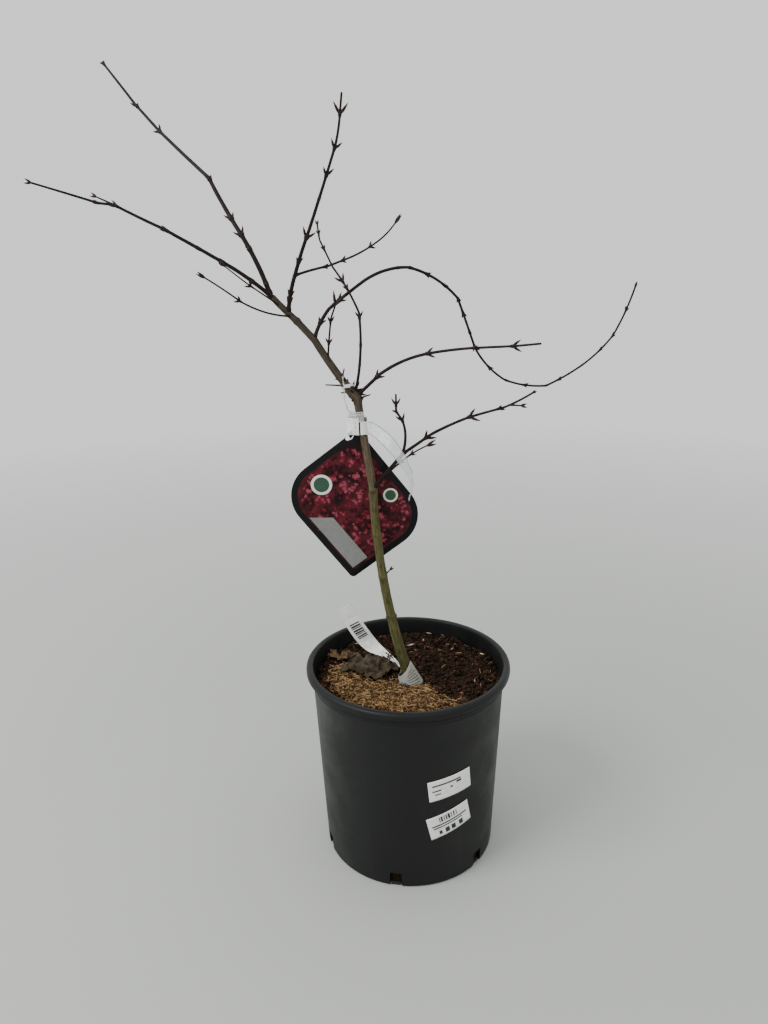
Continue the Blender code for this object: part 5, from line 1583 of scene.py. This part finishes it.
class MAPLE_OT_tag(bpy.types.Operator):
    """Cut the plant tag and lay its generic print on it"""
    bl_idname = "maple.tag"
    bl_label = "Plant tag"

    def execute(self, context):
        labels = context.scene.maple_labels
        card = flat_shape([tag_outline(0.0)], 0.0, TAG_THICKNESS)
        piece("tag_card", card, printed_card("black_printed_card", labels.card), ["plant_tag"])
        grey = printed_card("grey_printed_ink", labels.band)
        leaves = tag_leaf_outlines(random.Random(SEED + 1))
        discs = [disc_outline(*disc) for disc in TAG_DISCS]
        middles = [disc_outline(x, y, radius * TAG_DISC_MIDDLE) for x, y, radius in TAG_DISCS]
        layers = (
            ("tag_panel", [tag_outline(TAG_BORDER)],
             printed_card("maroon_printed_ink", labels.panel, labels.panel_light, cell=16.0)),
            ("tag_leaves_dark", leaves["dark"], printed_card("dark_printed_ink", labels.leaf_dark)),
            ("tag_leaves_crimson", leaves["crimson"],
             printed_card("crimson_printed_ink", labels.leaf_crimson)),
            ("tag_leaves_bright", leaves["bright"], printed_card("pink_printed_ink", labels.leaf_bright)),
            ("tag_band", [TAG_BAND], grey),
            ("tag_discs", discs, printed_card("cream_printed_ink", labels.disc)),
            ("tag_disc_middles", middles, printed_card("green_printed_ink", labels.disc_inner)),
        )
        level = TAG_THICKNESS + PRINT_LIFT
        for name, outlines, ink in layers:
            piece(name, flat_shape(outlines, level), ink)
            level += PRINT_LIFT + PRINT_STEP * len(outlines)
        rules = [[(x + side * wide / 2, y + rise * TAG_RULE_HALF)
                  for side, rise in ((1, -1), (-1, -1), (-1, 1), (1, 1))] for x, y, wide in TAG_BACK_RULES]
        piece("tag_back", flat_shape([tag_outline(TAG_BORDER)[::-1]], -PRINT_LIFT), grey)
        dark = printed_card("rule_printed_ink", labels.ink)
        piece("tag_back_rules", flat_shape(rules, -2.0 * PRINT_LIFT), dark)
        return {"FINISHED"}


class MAPLE_OT_tie(bpy.types.Operator):
    """Wrap the white tie round the trunk, with its loop, its clear tail and the graft film"""
    bl_idname = "maple.tie"
    bl_label = "Tie and film"

    def execute(self, context):
        labels = context.scene.maple_labels
        trunk = LIMBS["trunk"]

        def around(turn, rise, lift=0.0):
            """A place on the tie's creased tube: its turn in degrees, and a share of its height."""
            out = direction(turn, 0.0)
            fold = 0.5 * noise.noise(Vector((out.x * 1.5, out.y * 1.5, rise * 3.0)))
            ridge = abs(noise.noise(Vector((out.x * 4.0, out.y * 4.0, rise * 1.2 + 5.0))))
            pinch = 1.0 - TIE_WAIST * math.sin(math.pi * rise) + TIE_CREASE * fold
            pinch += TIE_RIDGE * max(0.0, 1.0 - 3.0 * ridge)
            x = TIE_HALF_WIDTH * math.copysign(abs(out.x) ** TIE_SQUARE_X, out.x) * pinch + out.x * lift
            y = TIE_HALF_DEPTH * math.copysign(abs(out.y) ** TIE_SQUARE_Y, out.y) * pinch + out.y * lift
            return TIE_MIDDLE + Vector((x, y, TIE_HEIGHT * (rise - 0.5) + TIE_EDGE_WAVE * fold))

        def band(along, across, lift=0.0):
            """The white part of the tie, open at its gap, with a step down towards its end."""
            low = min(1.0, max(0.0, (along - TIE_STEP_FROM) / TIE_STEP_OVER))
            top = TIE_WHITE_SHARE + (TIE_LOW_SHARE - TIE_WHITE_SHARE) * low
            return around(TIE_GAP_AT - TIE_GAP / 2 - (360.0 - TIE_GAP) * along, across * top, lift)

        def folds(along, across, lift=0.0):
            """The clear upper part, drawn in towards the trunk in ripples."""
            rise = TIE_LOW_SHARE + (1.0 - TIE_LOW_SHARE) * across
            place = around(FILM_FOLDS[0] + (FILM_FOLDS[1] - FILM_FOLDS[0]) * along, rise, lift)
            centre = trunk.place(TIE_AT + TIE_HEIGHT * (rise - 0.5))[0]
            near = FOLDS_NEAR - FOLDS_DRAWN_IN * across
            near += RIPPLE * math.sin(across * RIPPLES * math.pi + RIPPLE_SLANT * along)
            return Vector((centre.x + (place.x - centre.x) * near, centre.y + (place.y - centre.y) * near,
                           place.z))

        def wrap(along, across):
            """The turn of film round the graft, slanted a little."""
            at = FILM_WRAP[0] + (FILM_WRAP[1] - FILM_WRAP[0]) * across
            at += FILM_WRAP_SLANT * math.cos(math.tau * along)
            side = trunk.bud_side(at, 360.0 * along)
            reach = trunk.radius(at) + FILM_WRAP_GAP + FILM_WRAP_CREASE * noise.noise(side * 4.0)
            return trunk.place(at)[0] + side * reach

        film = clear_film("white_polythene_tie", labels.tie, cover=0.94, roughness=0.35)
        obj = piece("tie_band", sheet("band", band, 120, 28), film, ["tag_tie"], smooth=60.0)
        thicken(obj, FILM)
        marks = print_marks("marks", band, TIE_MARKS, FILM)
        piece("tie_marks", marks, coated_paper("tie_ink", labels.ink))
        loop = ribbon_surface(TIE_LOOP, TIE_MIDDLE, crease=0.8, cup=0.4)
        thicken(piece("tie_loop", sheet("loop", loop, 40, 8), film, smooth=60.0), FILM)
        thicken(piece("film_wrap", sheet("wrap", wrap, 48, 8), film, smooth=60.0), FILM)
        clear = clear_film("clear_polythene_film", labels.film, labels.clearness, roughness=0.16)
        thicken(piece("tie_folds", sheet("folds", folds, 90, 36), clear, smooth=60.0), FILM)
        # Grey strips of painted shade over the film's folds and along the tail's and graft film's edges, for
        # the darker look that light bent in the clear film gives them; where the film lies doubled it also
        # hides a little more.
        edge = clear_film("film_edge_painted_shade", labels.edge, cover=0.75, roughness=0.3)
        fold_shade_lines = print_marks("fold_shade_lines", folds, FOLD_LINES, FILM, cells=90)
        piece("tie_fold_painted_shade", fold_shade_lines, edge, smooth=60.0)
        ends = (("tie_tail", TAIL, "tag_tie_tail"), ("graft_film", FILM_END, "tag_tie_film"))
        edges = [(0.5, EDGE_SHADE_WIDTH / 2, 1.0, EDGE_SHADE_WIDTH), (0.5, 1.0 - EDGE_SHADE_WIDTH / 2, 1.0, EDGE_SHADE_WIDTH)]
        for name, route, node in ends:
            surface = ribbon_surface(route, TIE_MIDDLE, crease=1.5, cup=0.5)
            obj = piece(name, sheet(name, surface, 90, 12), clear, [node], smooth=60.0)
            thicken(obj, FILM)
            # Strips of painted shade along the film's two edges.
            edge_shade_lines = print_marks("edge_shade_lines", surface, edges, FILM, cells=90)
            piece(f"{name}_hems", edge_shade_lines, edge, smooth=60.0)
        return {"FINISHED"}


class MAPLE_OT_papers(bpy.types.Operator):
    """Wrap the paper cuff at the trunk's foot, its strip, and the labels on the pot"""
    bl_idname = "maple.papers"
    bl_label = "Paper labels"

    def execute(self, context):
        labels = context.scene.maple_labels
        paper = coated_paper("coated_label_paper", labels.paper)
        ink = coated_paper("label_ink", labels.ink)
        trunk = LIMBS["trunk"]

        def cuff(along, across, lift=0.0):
            """A cone of paper from the soil up to the stem, high on one side and low on the other."""
            bearing = 360.0 * along
            side = 0.5 - 0.5 * math.cos(math.radians(bearing - CUFF_HIGH_BEARING))
            height = CUFF_HIGH_SIDE + (CUFF_LOW_SIDE - CUFF_HIGH_SIDE) * side
            rise = CUFF_LIFT + (height - CUFF_LIFT) * across
            top = trunk.radius(CUFF_HIGH_SIDE) + CUFF_TOP_CLEARANCE
            reach = CUFF_FOOT_RADIUS + (top - CUFF_FOOT_RADIUS) * rise / CUFF_HIGH_SIDE + lift
            reach += CUFF_CREASE * noise.noise(
                Vector((along * CUFF_CREASES[0], across * CUFF_CREASES[1], 2.0)))
            point = trunk.place(rise)[0] + direction(bearing, 0.0) * reach
            return Vector((point.x, point.y, SOIL_LEVEL + rise))

        # The cuff's paper is darker than the labels' paper: painted shade for the shade at the trunk's foot.
        shade_darkened = coated_paper("shade_darkened_label_paper", labels.cuff)
        obj = piece("foot_cuff", sheet("cuff", cuff, 96, 10), shade_darkened, ["foot_label"],
                    smooth=60.0)
        thicken(obj, PAPER)
        marks = [(CUFF_PRINT_MIDDLE, level, wide * CUFF_PRINT_WIDTH, CUFF_RULE_HEIGHT)
                 for level, wide in CUFF_RULES]
        piece("foot_cuff_rules", print_marks("rules", cuff, marks, PAPER / 2 + PAPER_PRINT_LIFT), ink)
        strip = ribbon_surface(LABEL_STRIP, Vector((0, 0, 0)), crease=0.6, pleat=1.0)

        def paper_end(along, across):
            """The printed part of the strip, from the stem."""
            return strip(along * STRIP_PAPER_END, across)

        def clear_end(along, across):
            """The bare end of the strip."""
            return strip(STRIP_PAPER_END + along * (1.0 - STRIP_PAPER_END), across)

        obj = piece("foot_strip", sheet("strip", paper_end, 160, 24), paper,
                    ["foot_label_strip"], smooth=60.0)
        thicken(obj, PAPER)
        haze = clear_film("hazy_label_film", labels.paper, STRIP_HAZE, roughness=0.4)
        obj = piece("foot_strip_end", sheet("strip", clear_end, 40, 10), haze, smooth=60.0)
        thicken(obj, PAPER)
        bars = [(along, across, long, -wide) for along, across, long, wide in STRIP_MARKS]
        piece("foot_strip_bars", print_marks("bars", strip, bars, -PAPER / 2 - PAPER_PRINT_LIFT), ink)
        for label, (_, _, width, tall, _) in STICKERS.items():
            surface = sticker_surface(label)

            def spot(along, across, surface=surface, width=width, tall=tall):
                """A place on the label by its shares of the width and the height."""
                return surface((along - 0.5) * width, (across - 0.5) * tall, 0.0)

            obj = piece(f"{label}_paper", sheet(label, spot, 40, 12), paper, [label],
                        smooth=60.0)
            thicken(obj, STICKER, offset=1.0)
            rules = [(x * width, y * tall, wide * width, high * tall)
                     for x, y, wide, high in STICKER_MARKS[label]]
            piece(f"{label}_rules", print_marks("rules", surface, rules, STICKER + PAPER_PRINT_LIFT), ink)
        return {"FINISHED"}


class MAPLE_OT_stage(bpy.types.Operator):
    """Set the pale floor, the soft light and the camera"""
    bl_idname = "maple.stage"
    bl_label = "Stage"

    def execute(self, context):
        stage = context.scene.maple_stage
        bm = bmesh.new()
        bmesh.ops.create_circle(bm, cap_ends=True, segments=96, radius=FLOOR_RADIUS)
        bmesh.ops.translate(bm, verts=bm.verts, vec=(0, 0, -FLOOR_DROP))
        floor = bpy.data.objects.new("floor", mesh_from(bm, "floor"))
        context.scene.collection.objects.link(floor)
        made, tree, shader = start_material("pale_floor", stage.floor, 0.8)
        place = add(tree, "TexCoord", {}).outputs["Object"]
        away = add(tree, "VectorMath", {0: place}, operation="LENGTH").outputs["Value"]
        fade = add(tree, "MapRange", {"Value": away, "From Min": FLOOR_FADE_FROM, "From Max": FLOOR_RADIUS,
                                      "To Min": 1.0, "To Max": 0.0})
        plug(tree, shader, {"Alpha": fade})
        floor.data.materials.append(made)

        world = bpy.data.worlds.new("surroundings")
        world.use_nodes = True
        backdrop = world.node_tree.nodes["Background"]
        backdrop.inputs["Color"].default_value = tuple(stage.backdrop)
        backdrop.inputs["Strength"].default_value = stage.backdrop_light
        context.scene.world = world

        lamp = bpy.data.lights.new("soft_lamp", "AREA")
        lamp.shape = "RECTANGLE"
        lamp.size, lamp.size_y = LAMP_SIZE
        lamp.energy = stage.lamp
        lamp_object = bpy.data.objects.new("soft_lamp", lamp)
        lamp_object.location = LAMP_PLACE
        lamp_object.rotation_euler = (Vector(LAMP_TARGET) - Vector(LAMP_PLACE)).to_track_quat(
            "-Z", "Y").to_euler()
        context.scene.collection.objects.link(lamp_object)

        lens = bpy.data.cameras.new("camera")
        lens.sensor_width = SENSOR
        lens.lens = stage.focal / MM
        lens.shift_x = (IMAGE_WIDTH / 2.0 - IMAGE_CENTRE[0]) / IMAGE_HEIGHT
        lens.shift_y = -(IMAGE_HEIGHT / 2.0 - IMAGE_CENTRE[1]) / IMAGE_HEIGHT
        camera = bpy.data.objects.new("camera", lens)
        tilt = Matrix.Rotation(math.radians(90.0 - CAMERA_TILT), 4, "X")
        roll = Matrix.Rotation(math.radians(-CAMERA_ROLL), 4, "Z")
        camera.matrix_world = Matrix.Translation(CAMERA_PLACE) @ tilt @ roll
        context.scene.collection.objects.link(camera)
        context.scene.camera = camera
        return {"FINISHED"}


OPERATORS = (
    MAPLE_OT_stage, MAPLE_OT_pot, MAPLE_OT_soil, MAPLE_OT_leaves, MAPLE_OT_trunk, MAPLE_OT_boughs,
    MAPLE_OT_twigs, MAPLE_OT_buds, MAPLE_OT_tag, MAPLE_OT_tie, MAPLE_OT_papers,
)
GROUPS = {
    "maple_potting": MaplePotting, "maple_bark": MapleBark, "maple_labels": MapleLabels,
    "maple_stage": MapleStage,
}


class MAPLE_PT_panel(bpy.types.Panel):
    """The sidebar panel with every piece of the potted maple"""
    bl_idname = "MAPLE_PT_panel"
    bl_label = "Potted Maple"
    bl_space_type = "VIEW_3D"
    bl_region_type = "UI"
    bl_category = "Maple"

    def draw(self, context):
        for operator in OPERATORS:
            self.layout.operator(operator.bl_idname)
        for group in GROUPS:
            box = self.layout.box()
            settings = getattr(context.scene, group)
            for name in settings.bl_rna.properties.keys():
                if name not in ("rna_type", "name"):
                    box.prop(settings, name)


def register():
    """Add the settings, the operators and the panel to Blender."""
    for kind in (*GROUPS.values(), *OPERATORS, MAPLE_PT_panel):
        bpy.utils.register_class(kind)
    for name, group in GROUPS.items():
        setattr(bpy.types.Scene, name, bpy.props.PointerProperty(type=group))


def unregister():
    """Take them out again."""
    for name in GROUPS:
        delattr(bpy.types.Scene, name)
    for kind in reversed((*GROUPS.values(), *OPERATORS, MAPLE_PT_panel)):
        bpy.utils.unregister_class(kind)


def main():
    """Build every piece in order."""
    register()
    for operator in OPERATORS:
        getattr(bpy.ops.maple, operator.bl_idname.split(".")[1])()
    bpy.context.view_layer.update()


if __name__ == "__main__":
    main()
